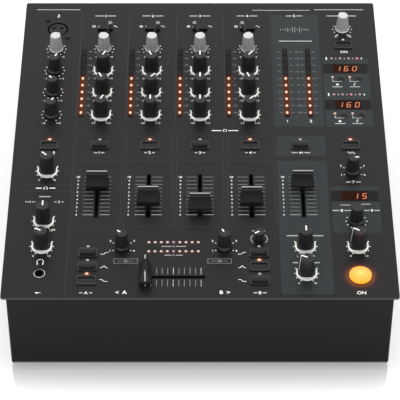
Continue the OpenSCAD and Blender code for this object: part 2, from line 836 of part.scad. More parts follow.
module top_panel() {
    color("#343435") {
        difference() {
            translate([0, 0, z_under]) linear_extrude(panel_t)
                rounded_rect(panel_w, panel_d, panel_corner_r);
            translate([0, 0, z_under - 1]) linear_extrude(panel_t + 2) panel_holes();
        }
        at_each(PILLAR_AT) translate([0, 0, board_z]) cylinder(r = pillar_r, h = board_drop + 0.1);
    }
}

module vents() {
    for (side = [-1, 1]) for (i = [0 : vent_count - 1])
        translate([
            supply_at[0] + (i - (vent_count - 1) / 2) * vent_w * 2.4,
            supply_at[1] + side * (vent_l / 2 + 4), 0
        ])
            block([vent_w, vent_l], foot_h - 1, sheet_t + 2);
}

// Folded sheet with a floor, a front and two sides, open to the top and the rear
module case_shell() {
    depth = rear_y - body_front_y;
    mid_y = (rear_y + body_front_y) / 2;
    color("#262627") difference() {
        translate([0, mid_y, foot_h]) linear_extrude(body_h) {
            rounded_rect(body_w, depth, body_corner_r);
            translate([0, body_corner_r]) square([body_w, depth - 2 * body_corner_r], center = true);
        }
        translate([0, mid_y, floor_z]) linear_extrude(body_h) {
            rounded_rect(inner_w, depth - 2 * sheet_t, body_corner_r - sheet_t);
            translate([0, depth / 4]) square([inner_w, depth], center = true);
        }
        vents();
    }
}

// A hole of the child's outline through the rear panel
module rear_hole(x, z) {
    out_of_rear(x, z) translate([0, 0, -1]) linear_extrude(rear_t + 2) children();
}

module rear_panel() {
    color("#2a2a2b") difference() {
        translate([-inner_w / 2 + rear_slide_gap, rear_in_y, floor_z])
            cube([inner_w - 2 * rear_slide_gap, rear_t, z_under - floor_z]);
        for (x = PHONO_X) for (z = phono_rows_z) rear_hole(x, z) circle(r = phono_r + hole_gap);
        rear_hole(digital_x, phono_rows_z[0]) circle(r = phono_r + hole_gap);
        for (x = xlr_out_x) rear_hole(x, xlr_out_z) circle(r = xlr_r + xlr_wall + hole_gap);
        for (x = ground_x) rear_hole(x, ground_z) circle(r = ground_stud_r + hole_gap);
        rear_hole(power_x, inlet_z)
            square([inlet_body[0] + 2 * hole_gap, inlet_body[1] + 2 * hole_gap], center = true);
        rear_hole(power_x, rocker_z)
            square([rocker_body[0] + 2 * hole_gap, rocker_body[1] + 2 * hole_gap], center = true);
    }
}

module foot() {
    difference() {
        cylinder(r1 = foot_r, r2 = foot_r + 1, h = foot_h);
        translate([0, 0, -1]) cylinder(r = foot_recess_r, h = foot_h / 2 + 1);
    }
}

module feet() {
    color("#161616")
        for (x = [-1, 1]) for (y = [-1, 1])
            translate([x * (panel_w / 2 - foot_inset), y * (panel_d / 2 - foot_inset), 0]) foot();
}

// Lamps and windows

// Light pipe from the control board to a dome just above the panel
module lamp() {
    dome_r = lamp_r - 0.1;
    translate([0, 0, part_z]) cylinder(r = lamp_r, h = z_top + lamp_rim_h - part_z);
    translate([0, 0, z_top + lamp_proud - dome_r]) sphere(r = dome_r);
}

// Bar of small lamps under a meter window
module lamp_array() {
    block([meter_w, meter_l], part_z, array_top - array_lamp_h - part_z);
    for (i = [0 : meter_lamps - 1])
        translate([0, meter_lamps_y - meter_mid_y + (i - (meter_lamps - 1) / 2) * meter_pitch, 0])
            block([meter_w - 1.2, 2], array_top - array_lamp_h - 0.1, array_lamp_h + 0.1);
}

module lamps() {
    color("#ff7a3c") {
        at_each(LAMP_AT) lamp();
        for (x = METER_X) translate([x, meter_mid_y, 0]) lamp_array();
        at_each(display_at) block([display_w - 4, display_d - 2], part_z, array_top - part_z);
    }
}

// Window flush with the panel, with a flange below it
module lens(w, d) {
    block([w - 2 * push_gap, d - 2 * push_gap], z_under - lens_flange_t / 2, panel_t + lens_flange_t / 2);
    block([w + 2 * lens_flange, d + 2 * lens_flange], z_under - lens_flange_t, lens_flange_t);
}

module display_windows() {
    color("#2a1613") {
        for (x = METER_X) translate([x, meter_mid_y, 0]) lens(meter_w, meter_l);
        at_each(display_at) lens(display_w, display_d);
    }
}

// Sockets of the top panel

module at_pins() {
    for (a = XLR_PIN_ANGLES) rotate([0, 0, a]) translate([xlr_pin_circle_r, 0, 0]) children();
}

// Cup below the panel with a core that has three pin holes
module mic_socket() {
    cup_z = z_under - mic_depth;
    core_top = z_top - 0.4;
    difference() {
        union() {
            difference() {
                union() {
                    translate([0, 0, cup_z]) cylinder(r = xlr_r + xlr_wall, h = mic_depth);
                    block(xlr_plate, z_under - xlr_plate_t, xlr_plate_t);
                }
                translate([0, 0, cup_z + mic_floor_t]) cylinder(r = xlr_r, h = mic_depth);
            }
            translate([0, 0, cup_z + 1]) cylinder(r = mic_core_r, h = core_top - cup_z - 1);
        }
        translate([0, 0, core_top - xlr_pin_l]) at_pins() cylinder(r = xlr_pin_r + 0.2, h = xlr_pin_l + 1);
    }
}

module phones_socket() {
    mouth_z = z_top + phones_neck_h;
    body_z = mouth_z - phones_l - 3;
    difference() {
        union() {
            block(phones_body, body_z, z_under - body_z);
            translate([0, 0, z_under - 1]) cylinder(r = phones_neck_r, h = mouth_z - z_under + 1);
        }
        translate([0, 0, mouth_z - phones_l]) cylinder(r = phones_r, h = phones_l + 1);
    }
}

module panel_sockets() {
    color("#17171a") {
        translate([mic_socket_at[0], mic_socket_at[1], 0]) mic_socket();
        translate([phones_at[0], phones_at[1], 0]) phones_socket();
    }
}

// Sockets of the rear panel, with the audio board behind them

module phono_barrel() {
    difference() {
        translate([0, 0, -1]) cylinder(r = phono_r, h = rear_t + phono_l + 1);
        translate([0, 0, rear_t]) cylinder(r = phono_pin_r, h = phono_l + 1);
    }
}

// A column of phono sockets in one moulded block that stands on the audio board
module phono_block(x, rows) {
    foot_z = audio_board_z + solder_gap;
    top_z = rows[len(rows) - 1] + phono_margin;
    translate([x, rear_in_y - phono_block_d / 2, 0])
        block([2 * phono_margin, phono_block_d], foot_z, top_z - foot_z);
    for (z = rows) out_of_rear(x, z) phono_barrel();
}

module xlr_out() {
    mouth = rear_t + xlr_plate_t;
    difference() {
        union() {
            translate([0, 0, mouth - xlr_out_l]) cylinder(r = xlr_r + xlr_wall, h = xlr_out_l);
            translate([0, 0, rear_t]) linear_extrude(xlr_plate_t) rounded_rect(xlr_plate[0], xlr_plate[1], 2);
        }
        translate([0, 0, mouth - xlr_cavity_l]) cylinder(r = xlr_r, h = xlr_cavity_l + 1);
    }
    translate([0, 0, mouth - xlr_cavity_l - 1]) at_pins() cylinder(r = xlr_pin_r, h = xlr_pin_l + 1);
}

// Stud with a nut on the inside, and a washer and a thumb nut on the outside
module ground_post() {
    translate([0, 0, -4]) cylinder(r = ground_stud_r, h = rear_t + 12);
    translate([0, 0, -2.4]) cylinder(r = 4, h = 2.4, $fn = 6);
    translate([0, 0, rear_t]) cylinder(r = 4, h = 1);
    translate([0, 0, rear_t + 2]) cylinder(r = 4.4, h = 5);
}

// Mains inlet with two cut corners and three blades
module inlet() {
    mouth = rear_t + inlet_plate_t;
    difference() {
        union() {
            block(inlet_body, mouth - inlet_body_l, inlet_body_l);
            translate([0, 0, rear_t]) linear_extrude(inlet_plate_t)
                rounded_rect(inlet_plate[0], inlet_plate[1], 4);
        }
        translate([0, 0, mouth - inlet_cavity_l]) linear_extrude(inlet_cavity_l + 1) polygon([
            [-inlet_cavity[0] / 2, -inlet_cavity[1] / 2], [inlet_cavity[0] / 2, -inlet_cavity[1] / 2],
            [inlet_cavity[0] / 2, inlet_cavity[1] / 2 - inlet_cut],
            [inlet_cavity[0] / 2 - inlet_cut, inlet_cavity[1] / 2],
            [-inlet_cavity[0] / 2 + inlet_cut, inlet_cavity[1] / 2],
            [-inlet_cavity[0] / 2, inlet_cavity[1] / 2 - inlet_cut]
        ]);
    }
    at_each([[-7, -2], [7, -2], [0, 2]])
        block(inlet_blade, mouth - inlet_cavity_l - 1, inlet_cavity_l - 2);
}

module rocker_housing() {
    mouth = rear_t + rocker_plate_t;
    pivot = rocker_pivot_y - rear_in_y;
    difference() {
        union() {
            block(rocker_body, pivot - rocker_well - 2, mouth - pivot + rocker_well + 2);
            translate([0, 0, rear_t]) linear_extrude(rocker_plate_t)
                rounded_rect(rocker_plate[0], rocker_plate[1], 1.5);
        }
        block(
            [rocker_w + 2 * rocker_gap, 2 * (rocker_half_h + rocker_end_gap)],
            pivot - rocker_well, rocker_well + mouth
        );
        translate([-rocker_body[0], 0, pivot])
            rotate([0, 90, 0]) cylinder(r = rocker_pin_r + run_gap, h = 2 * rocker_body[0]);
    }
}

module audio_board() {
    mid_x = (audio_board_x[0] + audio_board_x[1]) / 2;
    w = audio_board_x[1] - audio_board_x[0];
    mid_y = rear_in_y - 1 - audio_board_d / 2;
    translate([mid_x, mid_y, 0]) {
        block([w, audio_board_d], audio_board_z - board_t, board_t);
        for (x = [-1, 0, 1]) for (y = [-1, 1])
            translate([x * (w / 2 - 6), y * (audio_board_d / 2 - 6), floor_z])
                cylinder(r = post_r, h = audio_board_z - board_t - floor_z);
    }
}

module rear_sockets() {
    color("#3b6a45") audio_board();
    color("#d8d8d6") {
        for (x = PHONO_X) phono_block(x, phono_rows_z);
        phono_block(digital_x, [phono_rows_z[0]]);
        for (x = xlr_out_x) out_of_rear(x, xlr_out_z) xlr_out();
        for (x = ground_x) out_of_rear(x, ground_z) ground_post();
    }
    color("#1a1a1b") {
        out_of_rear(power_x, inlet_z) inlet();
        out_of_rear(power_x, rocker_z) rocker_housing();
    }
}

module power_rocker() {
    color("#0f0f10") translate([power_x, rocker_pivot_y, rocker_z]) rotate([rocker_tilt, 0, 0]) {
        translate([-rocker_w / 2, 0, 0]) rotate([90, 0, 90]) linear_extrude(rocker_w) polygon([
            [-4, -3.5], [1.5, -rocker_half_h], [3.4, -rocker_half_h], [2.2, 0],
            [3.4, rocker_half_h], [1.5, rocker_half_h], [-4, 3.5]
        ]);
        rotate([0, 90, 0]) cylinder(r = rocker_pin_r, h = rocker_body[0] - 1, center = true);
    }
}

// Boards inside the body

module potentiometer() {
    difference() {
        union() {
            block([pot_w, pot_w], part_z, pot_h);
            translate([0, 0, pot_z - 1]) cylinder(r = bush_r, h = z_under - pot_z + 1);
        }
        translate([0, 0, shaft_z - shaft_end_gap])
            cylinder(r = shaft_r + run_gap, h = z_under - shaft_z + shaft_end_gap + 1);
    }
}

module push_switch(size) {
    difference() {
        block(size, part_z, switch_top - part_z);
        translate([0, 0, stem_bore_z]) cylinder(r = stem_r + run_gap, h = switch_top - stem_bore_z + 1);
    }
}

module toggle_switch() {
    difference() {
        block(toggle_body, part_z, z_under - part_z);
        block(toggle_well, toggle_well_z, z_under - toggle_well_z + 1);
        translate([0, toggle_body[1], toggle_pivot_z])
            rotate([90, 0, 0]) cylinder(r = trunnion_r + run_gap, h = 2 * toggle_body[1]);
    }
}

// Header, flat cable and header between the control board and a lower board
module board_link(x, y, lower_z) {
    upper_z = board_z - board_t;
    translate([x, y, 0]) {
        block([34, 8], lower_z, 9);
        block([30, 1], lower_z + 9, upper_z - lower_z - 18);
        block([34, 8], upper_z - 9, 9);
    }
}

module control_plate() {
    difference() {
        translate([-board_w / 2, board_front_y, board_z - board_t])
            cube([board_w, board_rear_y - board_front_y, board_t]);
        translate([mic_socket_at[0], mic_socket_at[1], board_z - board_t - 1])
            cylinder(r = xlr_r + xlr_wall + 1, h = board_t + 2);
        translate([phones_at[0], phones_at[1], 0])
            block([phones_body[0] + 2, phones_body[1] + 2], board_z - board_t - 1, board_t + 2);
    }
}

module control_board() {
    color("#2f5d3a") control_plate();
    color("#8a8d90") {
        at_each(ROTARY_AT) potentiometer();
        at_each(RECT_BUTTON_AT) push_switch(rect_switch);
        at_each(concat(tempo_button_at, [effect_on_at])) push_switch(round_switch);
        for (c = [1 : 4]) translate([col(c), input_y, 0]) toggle_switch();
        for (c = FADER_COLS) translate([col(c), fader_y, 0]) fader_frame();
        translate([crossfader_at[0], crossfader_at[1], 0]) rotate([0, 0, 90]) fader_frame();
    }
    color("#b8b8b4") {
        board_link(across(-60), rear_in_y - audio_board_d + 12, audio_board_z);
        board_link(supply_at[0], supply_at[1] + 36, supply_top);
    }
}

// Heat sink of upright fins on a foot
module heat_sink(fins, pitch, h) {
    w = (fins - 1) * pitch + 1.6;
    translate([-w / 2, -12, supply_top]) cube([w, 24, 3]);
    for (i = [0 : fins - 1]) translate([-w / 2 + i * pitch, -12, supply_top]) cube([1.6, 24, h]);
}

module capacitor(x, y, r, h) {
    translate([x, y, supply_top]) {
        cylinder(r = r, h = h);
        translate([0, 0, 1.5]) cylinder(r = r + 0.4, h = h - 3);
    }
}

module transformer() {
    core = [40, 34];
    block(core, supply_top, 6);
    block([core[0] - 12, core[1] + 8], supply_top + 5, 20);
    block(core, supply_top + 24, 6);
    for (s = [-1, 1]) translate([s * (core[0] / 2 - 3.5), 0, 0]) block([7, core[1]], supply_top, 30);
}

module power_supply() {
    translate([supply_at[0], supply_at[1], 0]) {
        color("#7a6a2c") block(supply_board, supply_z, board_t);
        color("silver") for (x = [-1, 1]) for (y = [-1, 1])
            translate([x * (supply_board[0] / 2 - 5), y * (supply_board[1] / 2 - 5), floor_z])
                cylinder(r = post_r, h = supply_post_h);
        color("#c8a24a") translate([-22, -14, 0]) transformer();
        color("#20242c") {
            capacitor(20, -26, 9, 30);
            capacitor(40, -26, 7, 24);
            capacitor(40, -6, 5, 18);
        }
        color("#9a9c9e") translate([16, 10, 0]) heat_sink(7, 5, 28);
    }
}

top_panel();
case_shell();
rear_panel();
feet();
button_bezels();
lamps();
display_windows();
panel_sockets();
rear_sockets();
control_board();
power_supply();
mic_level_knob();
mic_high_knob();
mic_mid_knob();
mic_low_knob();
ch1_gain_knob();
ch1_high_knob();
ch1_mid_knob();
ch1_low_knob();
ch2_gain_knob();
ch2_high_knob();
ch2_mid_knob();
ch2_low_knob();
ch3_gain_knob();
ch3_high_knob();
ch3_mid_knob();
ch3_low_knob();
ch4_gain_knob();
ch4_high_knob();
ch4_mid_knob();
ch4_low_knob();
talkover_level_knob();
headphone_mix_knob();
headphone_level_knob();
surround_knob();
effect_source_knob();
effect_select_knob();
effect_depth_knob();
master_balance_knob();
booth_level_knob();
assign_a_knob();
assign_b_knob();
crossfade_curve_knob();
ch1_input_toggle();
ch2_input_toggle();
ch3_input_toggle();
ch4_input_toggle();
ch1_fader();
ch2_fader();
ch3_fader();
ch4_fader();
master_fader();
crossfader();
cue_buttons_released();
cue_buttons_latched();
kill_buttons_released();
kill_buttons_latched();
tempo_buttons();
effect_on_button();
power_rocker();
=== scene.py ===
"""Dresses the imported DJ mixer: its finishes, printed scales, lit lamps, inlays and fasteners.

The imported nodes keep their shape. Every new piece is made in millimetres in the mixer's own frame,
becomes a mesh in metres with its place in its vertices, and rides on the body that carries it.
"""

import json
import logging
import math
from dataclasses import dataclass, field, replace
from enum import Enum
from functools import partial
from typing import Callable, Iterable, Sequence

import bmesh
import bpy
from mathutils import Matrix, Vector

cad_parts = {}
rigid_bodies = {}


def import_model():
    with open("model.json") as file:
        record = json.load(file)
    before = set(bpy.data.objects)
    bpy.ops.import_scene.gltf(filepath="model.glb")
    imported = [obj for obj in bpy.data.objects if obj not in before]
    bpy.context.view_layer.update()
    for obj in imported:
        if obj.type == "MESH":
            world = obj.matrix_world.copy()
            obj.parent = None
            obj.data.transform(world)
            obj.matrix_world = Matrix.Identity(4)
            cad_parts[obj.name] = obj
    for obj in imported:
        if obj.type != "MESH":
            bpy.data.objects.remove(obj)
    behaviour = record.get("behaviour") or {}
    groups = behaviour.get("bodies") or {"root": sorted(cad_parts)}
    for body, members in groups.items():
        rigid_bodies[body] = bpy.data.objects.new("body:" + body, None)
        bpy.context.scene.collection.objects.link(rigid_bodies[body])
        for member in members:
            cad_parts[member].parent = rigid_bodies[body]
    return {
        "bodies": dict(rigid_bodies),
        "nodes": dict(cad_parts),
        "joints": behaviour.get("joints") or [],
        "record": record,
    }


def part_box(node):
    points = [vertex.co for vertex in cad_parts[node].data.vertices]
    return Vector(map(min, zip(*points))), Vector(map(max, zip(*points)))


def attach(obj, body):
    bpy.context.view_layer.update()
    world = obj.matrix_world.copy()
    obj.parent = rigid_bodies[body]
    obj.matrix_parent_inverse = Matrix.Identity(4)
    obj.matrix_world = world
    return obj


LOG = logging.getLogger("mixer")
MM = 0.001
CASE = "case"
IDENTITY = Matrix()
SIDES = (-1, 1)
CHANNELS = range(1, 5)
# Attributes of the vertices: the light that falls on them, and how near they are to a lamp's middle
GLOW = "glow"
CORE = "core"
# The span of a noise texture that a grain uses
GRAIN_SPAN = {"From_Min": 0.3, "From_Max": 0.7}
BOARD_GREEN = "#27512f"

Point = tuple[float, float]
Tree = bpy.types.NodeTree
Node = bpy.types.Node
Socket = bpy.types.NodeSocket
Level = float | Socket


def linear(hex_colour: str, share: float = 1.0) -> tuple[float, float, float, float]:
    """Turns a screen colour into the linear values that shaders take.

    Args:
        hex_colour: An sRGB colour such as "#3a3a3b".
        share: What its linear values are multiplied by.

    Returns:
        Linear red, green and blue, and an alpha of 1.
    """
    parts = [int(hex_colour[i : i + 2], 16) / 255 for i in (1, 3, 5)]
    levels = [c / 12.92 if c <= 0.04045 else ((c + 0.055) / 1.055) ** 2.4 for c in parts]
    return (*(min(1.0, c * share) for c in levels), 1.0)


def add_node(tree: Tree, kind: str, settings: dict | None = None, **inputs: object) -> Node:
    """Adds a node with its settings, values and links.

    Args:
        tree: The node tree.
        kind: The node's type, such as "ShaderNodeTexNoise".
        settings: Properties of the node itself.
        **inputs: A value or a socket for each input, by its name, with "_" for a space, or "i" and its index.

    Returns:
        The new node.
    """
    node = tree.nodes.new(kind)
    for name, value in (settings or {}).items():
        setattr(node, name, value)
    for name, value in inputs.items():
        indexed = name[0] == "i" and name[1:].isdigit()
        socket = node.inputs[int(name[1:])] if indexed else node.inputs[name.replace("_", " ")]
        if isinstance(value, Socket):
            tree.links.new(value, socket)
        else:
            socket.default_value = value
    return node


def add_ramp(tree: Tree, value: Socket, stops: Sequence[tuple[float, str]]) -> Socket:
    """Adds a colour ramp.

    Args:
        tree: The node tree.
        value: What runs along the ramp, from 0 to 1.
        stops: Places on the ramp with their sRGB colours.

    Returns:
        The ramp's colour.
    """
    ramp = add_node(tree, "ShaderNodeValToRGB", Fac=value)
    elements = ramp.color_ramp.elements
    while len(elements) < len(stops):
        elements.new(0.5)
    for element, (at, colour) in zip(elements, stops):
        element.position = at
        element.color = linear(colour)
    return ramp.outputs[0]


def compute(tree: Tree, operation: str, *values: Level) -> Socket:
    """Returns the result of a math node on numbers or sockets."""
    inputs = {f"i{i}": value for i, value in enumerate(values)}
    return add_node(tree, "ShaderNodeMath", {"operation": operation}, **inputs).outputs[0]


def blend(tree: Tree, share: Level, low: object, high: object, mode: str = "MIX") -> Socket:
    """Returns a mix of two colours, the second one where the share is 1."""
    settings = {"data_type": "RGBA", "blend_type": mode}
    return add_node(tree, "ShaderNodeMix", settings, i0=share, i6=low, i7=high).outputs[2]


# Finishes


@dataclass(frozen=True)
class Look:
    """A material that is made at its first use.

    Args:
        name: The material's name.
    """

    name: str

    def title(self) -> str:
        """Returns the name that the material gets."""
        return self.name

    def material(self) -> bpy.types.Material:
        """Returns the material, made at its first use."""
        made = bpy.data.materials.get(self.title())
        if made is None:
            made = bpy.data.materials.new(self.title())
            made.use_nodes = True
            made.node_tree.nodes.clear()
            add_node(made.node_tree, "ShaderNodeOutputMaterial", Surface=self.shade(made.node_tree))
        return made

    def shade(self, tree: Tree) -> Socket:
        """Returns the output of the shader that each kind of look builds."""
        raise NotImplementedError


@dataclass(frozen=True)
class Finish(Look):
    """A finish with a fine grain that moves its colour, its roughness and its surface.

    Args:
        colour: The sRGB colour.
        roughness: Mean roughness.
        grain_mm: Size of a grain.
        grain_depth_mm: Height of the grain's bump.
        colour_share: How far the grain changes the colour, as a share.
        roughness_share: How far the grain changes the roughness.
        metallic: 1 for bare metal.
        specular: Specular level, 0.5 for a plain dielectric.
        glow: True where the vertices hold a glow that is added as light.
        slot: The record's material slot that the finish belongs to; not used.
    """

    colour: str
    roughness: float
    grain_mm: float = 0.4
    grain_depth_mm: float = 0.02
    colour_share: float = 0.08
    roughness_share: float = 0.1
    metallic: float = 0.0
    specular: float = 0.5
    glow: bool = False
    slot: str = "black_plastic"

    def title(self) -> str:
        """Returns the name, with an ending where the finish glows."""
        return self.name + ("_glow" if self.glow else "")

    def shade(self, tree: Tree) -> Socket:
        """Builds the shader, its grain, what lies over it, and its glow.

        Args:
            tree: The material's tree.

        Returns:
            The shader's output.
        """
        place = add_node(tree, "ShaderNodeTexCoord").outputs["Object"]
        values = {"Metallic": self.metallic, "Specular_IOR_Level": self.specular}
        shader = add_node(tree, "ShaderNodeBsdfPrincipled", **values)
        grain = self.grain(tree, place)
        low, high = (linear(self.colour, 1 + side * self.colour_share) for side in SIDES)
        share = add_node(tree, "ShaderNodeMapRange", Value=grain, **GRAIN_SPAN).outputs[0]
        tint = blend(tree, share, low, high)
        ends = {
            "To_Min": max(0.02, self.roughness - self.roughness_share),
            "To_Max": min(1.0, self.roughness + self.roughness_share),
        }
        rough = add_node(tree, "ShaderNodeMapRange", Value=grain, **GRAIN_SPAN, **ends).outputs[0]
        bump = add_node(tree, "ShaderNodeBump", Height=grain, Distance=self.grain_depth_mm * MM, Strength=1.0)
        tree.links.new(self.overlay(tree, shader, place, tint), shader.inputs["Base Color"])
        tree.links.new(rough, shader.inputs["Roughness"])
        tree.links.new(bump.outputs[0], shader.inputs["Normal"])
        if self.glow:
            light = add_node(tree, "ShaderNodeAttribute", {"attribute_name": GLOW}).outputs["Fac"]
            # From deep red where the light is faint to orange
            stops = [(0.0, "#000000"), (0.3, "#2c0c04"), (0.65, "#6c300c"), (1.0, "#e88a50")]
            tree.links.new(add_ramp(tree, light, stops), shader.inputs["Emission Color"])
            shader.inputs["Emission Strength"].default_value = 1.0
        return shader.outputs[0]

    def grain(self, tree: Tree, place: Socket) -> Socket:
        """Returns the grain, a value about 0.5."""
        values = {"Scale": 1 / (self.grain_mm * MM), "Detail": 3.0, "Roughness": 0.6}
        return add_node(tree, "ShaderNodeTexNoise", Vector=place, **values).outputs[0]

    def overlay(self, tree: Tree, shader: Node, place: Socket, tint: Socket) -> Socket:
        """Returns the colour, for the kinds of finish that lay something over it."""
        return tint


@dataclass(frozen=True)
class BrushedMetal(Finish):
    """Metal with fine brush lines along X.

    Args:
        line_mm: Width of a brush line.
    """

    metallic: float = 1.0
    line_mm: float = 0.25

    def grain(self, tree: Tree, place: Socket) -> Socket:
        """Returns the grain, stretched into brush lines."""
        along = add_node(tree, "ShaderNodeMapping", Vector=place, Scale=(0.06, 1.0, 1.0)).outputs[0]
        return add_node(
            tree, "ShaderNodeTexNoise", Vector=along, Scale=1 / (self.line_mm * MM), Detail=2.0
        ).outputs[0]


@dataclass(frozen=True)
class LayeredFinish(Finish):
    """Dark parts on a green board.

    Args:
        split_mm: Height of the top of the board.
    """

    split_mm: float = 0.0

    def overlay(self, tree: Tree, shader: Node, place: Socket, tint: Socket) -> Socket:
        """Returns the colour, green up to the top of the board."""
        height = add_node(tree, "ShaderNodeSeparateXYZ", Vector=place).outputs["Z"]
        above = compute(tree, "GREATER_THAN", height, self.split_mm * MM)
        return blend(tree, above, linear(BOARD_GREEN), tint)


@dataclass(frozen=True)
class RibbedFinish(Finish):
    """Moulded plastic with painted shade in its grooves and a painted highlight on its ribs, both from the
    mesh's pointiness.

    Args:
        groove_share: Share of the colour that is left in a groove, where shade is painted.
    """

    groove_share: float = 0.5

    def overlay(self, tree: Tree, shader: Node, place: Socket, tint: Socket) -> Socket:
        """Returns the colour with painted shade in the grooves and a painted highlight on the ribs."""
        edge = add_node(tree, "ShaderNodeNewGeometry").outputs["Pointiness"]
        # Painted shade where the pointiness is low, and a painted highlight up to 1.3 times the colour where
        # it is high
        ends = {"From_Min": 0.44, "From_Max": 0.56, "To_Min": self.groove_share, "To_Max": 1.3}
        light = add_node(tree, "ShaderNodeMapRange", Value=edge, **ends).outputs[0]
        return blend(tree, 1.0, tint, light, "MULTIPLY")


@dataclass(frozen=True)
class KnurledFinish(Finish):
    """Moulded plastic with upright ribs round one knob's axis, and painted shade between them.

    Args:
        axis: The knob's x and y, in millimetres.
        turn: The way its pointer faces, in radians.
        ribs: Number of ribs.
        groove_share: Share of the colour that is left in a groove, where shade is painted.
    """

    axis: Point = (0.0, 0.0)
    turn: float = 0.0
    ribs: int = 18
    groove_share: float = 0.62

    def overlay(self, tree: Tree, shader: Node, place: Socket, tint: Socket) -> Socket:
        """Returns the colour, with painted shade between the ribs.

        Args:
            tree: The material's tree.
            shader: Its shader.
            place: The place, in metres.
            tint: The colour.

        Returns:
            The colour with painted shade in its grooves.
        """
        calc = partial(compute, tree)
        away = (-self.axis[0] * MM, -self.axis[1] * MM, 0.0)
        centred = add_node(tree, "ShaderNodeMapping", Vector=place, Location=away).outputs[0]
        sides = add_node(tree, "ShaderNodeSeparateXYZ", Vector=centred).outputs
        angle = calc("ARCTAN2", sides["Y"], sides["X"])
        wave = calc("COSINE", calc("MULTIPLY", calc("SUBTRACT", angle, self.turn), float(self.ribs)))
        # Painted shade between the ribs, following a cosine round the knob's axis
        ends = {"From_Min": -1.0, "From_Max": 0.6, "To_Min": self.groove_share, "To_Max": 1.0}
        light = add_node(tree, "ShaderNodeMapRange", Value=wave, **ends).outputs[0]
        return blend(tree, 1.0, tint, light, "MULTIPLY")


@dataclass(frozen=True)
class SocketFinish(Finish):
    """Black moulded socket blocks with plated barrels, coloured rings and plated pins.

    Args:
        face_mm: The y of the panel's outer face.
        plated_to_mm: The x up to which what stands out of the panel is plated.
        pitch_mm: Distance between neighbouring barrels.
        phases_mm: The x of a barrel of the inputs and of the outputs.
        split_mm: The x between those two groups.
        rows_mm: The z of the lower and the upper row.
        ring_mm: Radius of the coloured ring in a barrel.
        board_mm: The z of the top of the board.
        board_end_mm: The x of the end of the board.
        pins_mm: The x, the z and the radius of each plated pin.
    """

    face_mm: float = 185.0
    plated_to_mm: float = 41.0
    pitch_mm: float = 15.0
    phases_mm: Point = (-133.0, 5.0)
    split_mm: float = -15.0
    rows_mm: Point = (39.0, 57.0)
    ring_mm: float = 3.1
    board_mm: float = 31.05
    board_end_mm: float = 98.5
    pins_mm: tuple[tuple[float, float, float], ...] = ()

    def overlay(self, tree: Tree, shader: Node, place: Socket, tint: Socket) -> Socket:
        """Lays the plating, the rings and the board over the plastic, and makes the plating metal.

        Args:
            tree: The material's tree.
            shader: Its shader.
            place: The place, in metres.
            tint: The colour of the plastic.

        Returns:
            The colour of it all.
        """
        calc = partial(compute, tree)
        sides = add_node(tree, "ShaderNodeSeparateXYZ", Vector=place).outputs
        x, y, z = (calc("DIVIDE", sides[axis], MM) for axis in "XYZ")
        out = calc("GREATER_THAN", y, self.face_mm - 0.05)
        apart = calc("MULTIPLY", calc("LESS_THAN", x, self.split_mm), self.phases_mm[0] - self.phases_mm[1])
        from_phase = calc("SUBTRACT", x, calc("ADD", apart, self.phases_mm[1]))
        across = calc("WRAP", from_phase, self.pitch_mm / 2, -self.pitch_mm / 2)
        up = calc("MINIMUM", *(calc("ABSOLUTE", calc("SUBTRACT", z, row)) for row in self.rows_mm))
        away = calc("SQRT", calc("ADD", *(calc("POWER", value, 2.0) for value in (across, up))))
        plated = calc("MULTIPLY", out, calc("LESS_THAN", x, self.plated_to_mm))
        ring = calc("MULTIPLY", plated, calc("LESS_THAN", away, self.ring_mm))
        for pin_x, pin_z, radius in self.pins_mm:
            offsets = (calc("SUBTRACT", x, pin_x), calc("SUBTRACT", z, pin_z))
            squares = (calc("POWER", offset, 2.0) for offset in offsets)
            plated = calc("MAXIMUM", plated, calc("LESS_THAN", calc("ADD", *squares), radius * radius))
        metal = calc("MULTIPLY", plated, calc("SUBTRACT", 1.0, ring))
        board = calc("MULTIPLY", calc("LESS_THAN", z, self.board_mm), calc("LESS_THAN", x, self.board_end_mm))
        board = calc("MULTIPLY", board, calc("SUBTRACT", 1.0, out))
        high_row = calc("GREATER_THAN", z, sum(self.rows_mm) / 2)
        rings = blend(tree, high_row, linear("#9c1f1a"), linear("#d6d6d2"))
        tree.links.new(metal, shader.inputs["Metallic"])
        layers = ((board, linear(BOARD_GREEN)), (metal, linear("#c9c9c5")), (ring, rings))
        for share, layer in layers:
            tint = blend(tree, share, tint, layer)
        return tint


@dataclass(frozen=True)
class Ink(Finish):
    """Screen-printed ink: flat, a little broken by the pebble of the enamel."""

    roughness: float = 0.6
    grain_depth_mm: float = 0.004
    colour_share: float = 0.05
    slot: str = "black_paint"


@dataclass(frozen=True)
class Acrylic(Finish):
    """Smooth cast plastic, too even to show a grain."""

    roughness: float = 0.3
    grain_mm: float = 5.0
    grain_depth_mm: float = 0.0001
    colour_share: float = 0.02
    roughness_share: float = 0.01
    slot: str = "window_plastic"


@dataclass(frozen=True)
class LampLight(Look):
    """A lamp's lit plastic: a pale core that turns to a deeper colour at its edge.

    Args:
        core: Colour over the lamp.
        edge: Colour at the rim.
        slot: The record's material slot that it belongs to; not used.
    """

    core: str
    edge: str
    slot: str = "lamp_plastic"

    def shade(self, tree: Tree) -> Socket:
        """Makes plastic that shines by how near its vertices are to the lamp's middle.

        Args:
            tree: The material's tree.

        Returns:
            The shader's output.
        """
        core = add_node(tree, "ShaderNodeAttribute", {"attribute_name": CORE}).outputs["Fac"]
        light = add_ramp(tree, core, [(0.0, self.edge), (0.45, self.core), (1.0, self.core)])
        values = {"Base_Color": linear("#3a2a26"), "Roughness": 0.3, "Specular_IOR_Level": 0.2}
        values |= {"Emission_Color": light, "Emission_Strength": 1.0}
        return add_node(tree, "ShaderNodeBsdfPrincipled", **values).outputs[0]


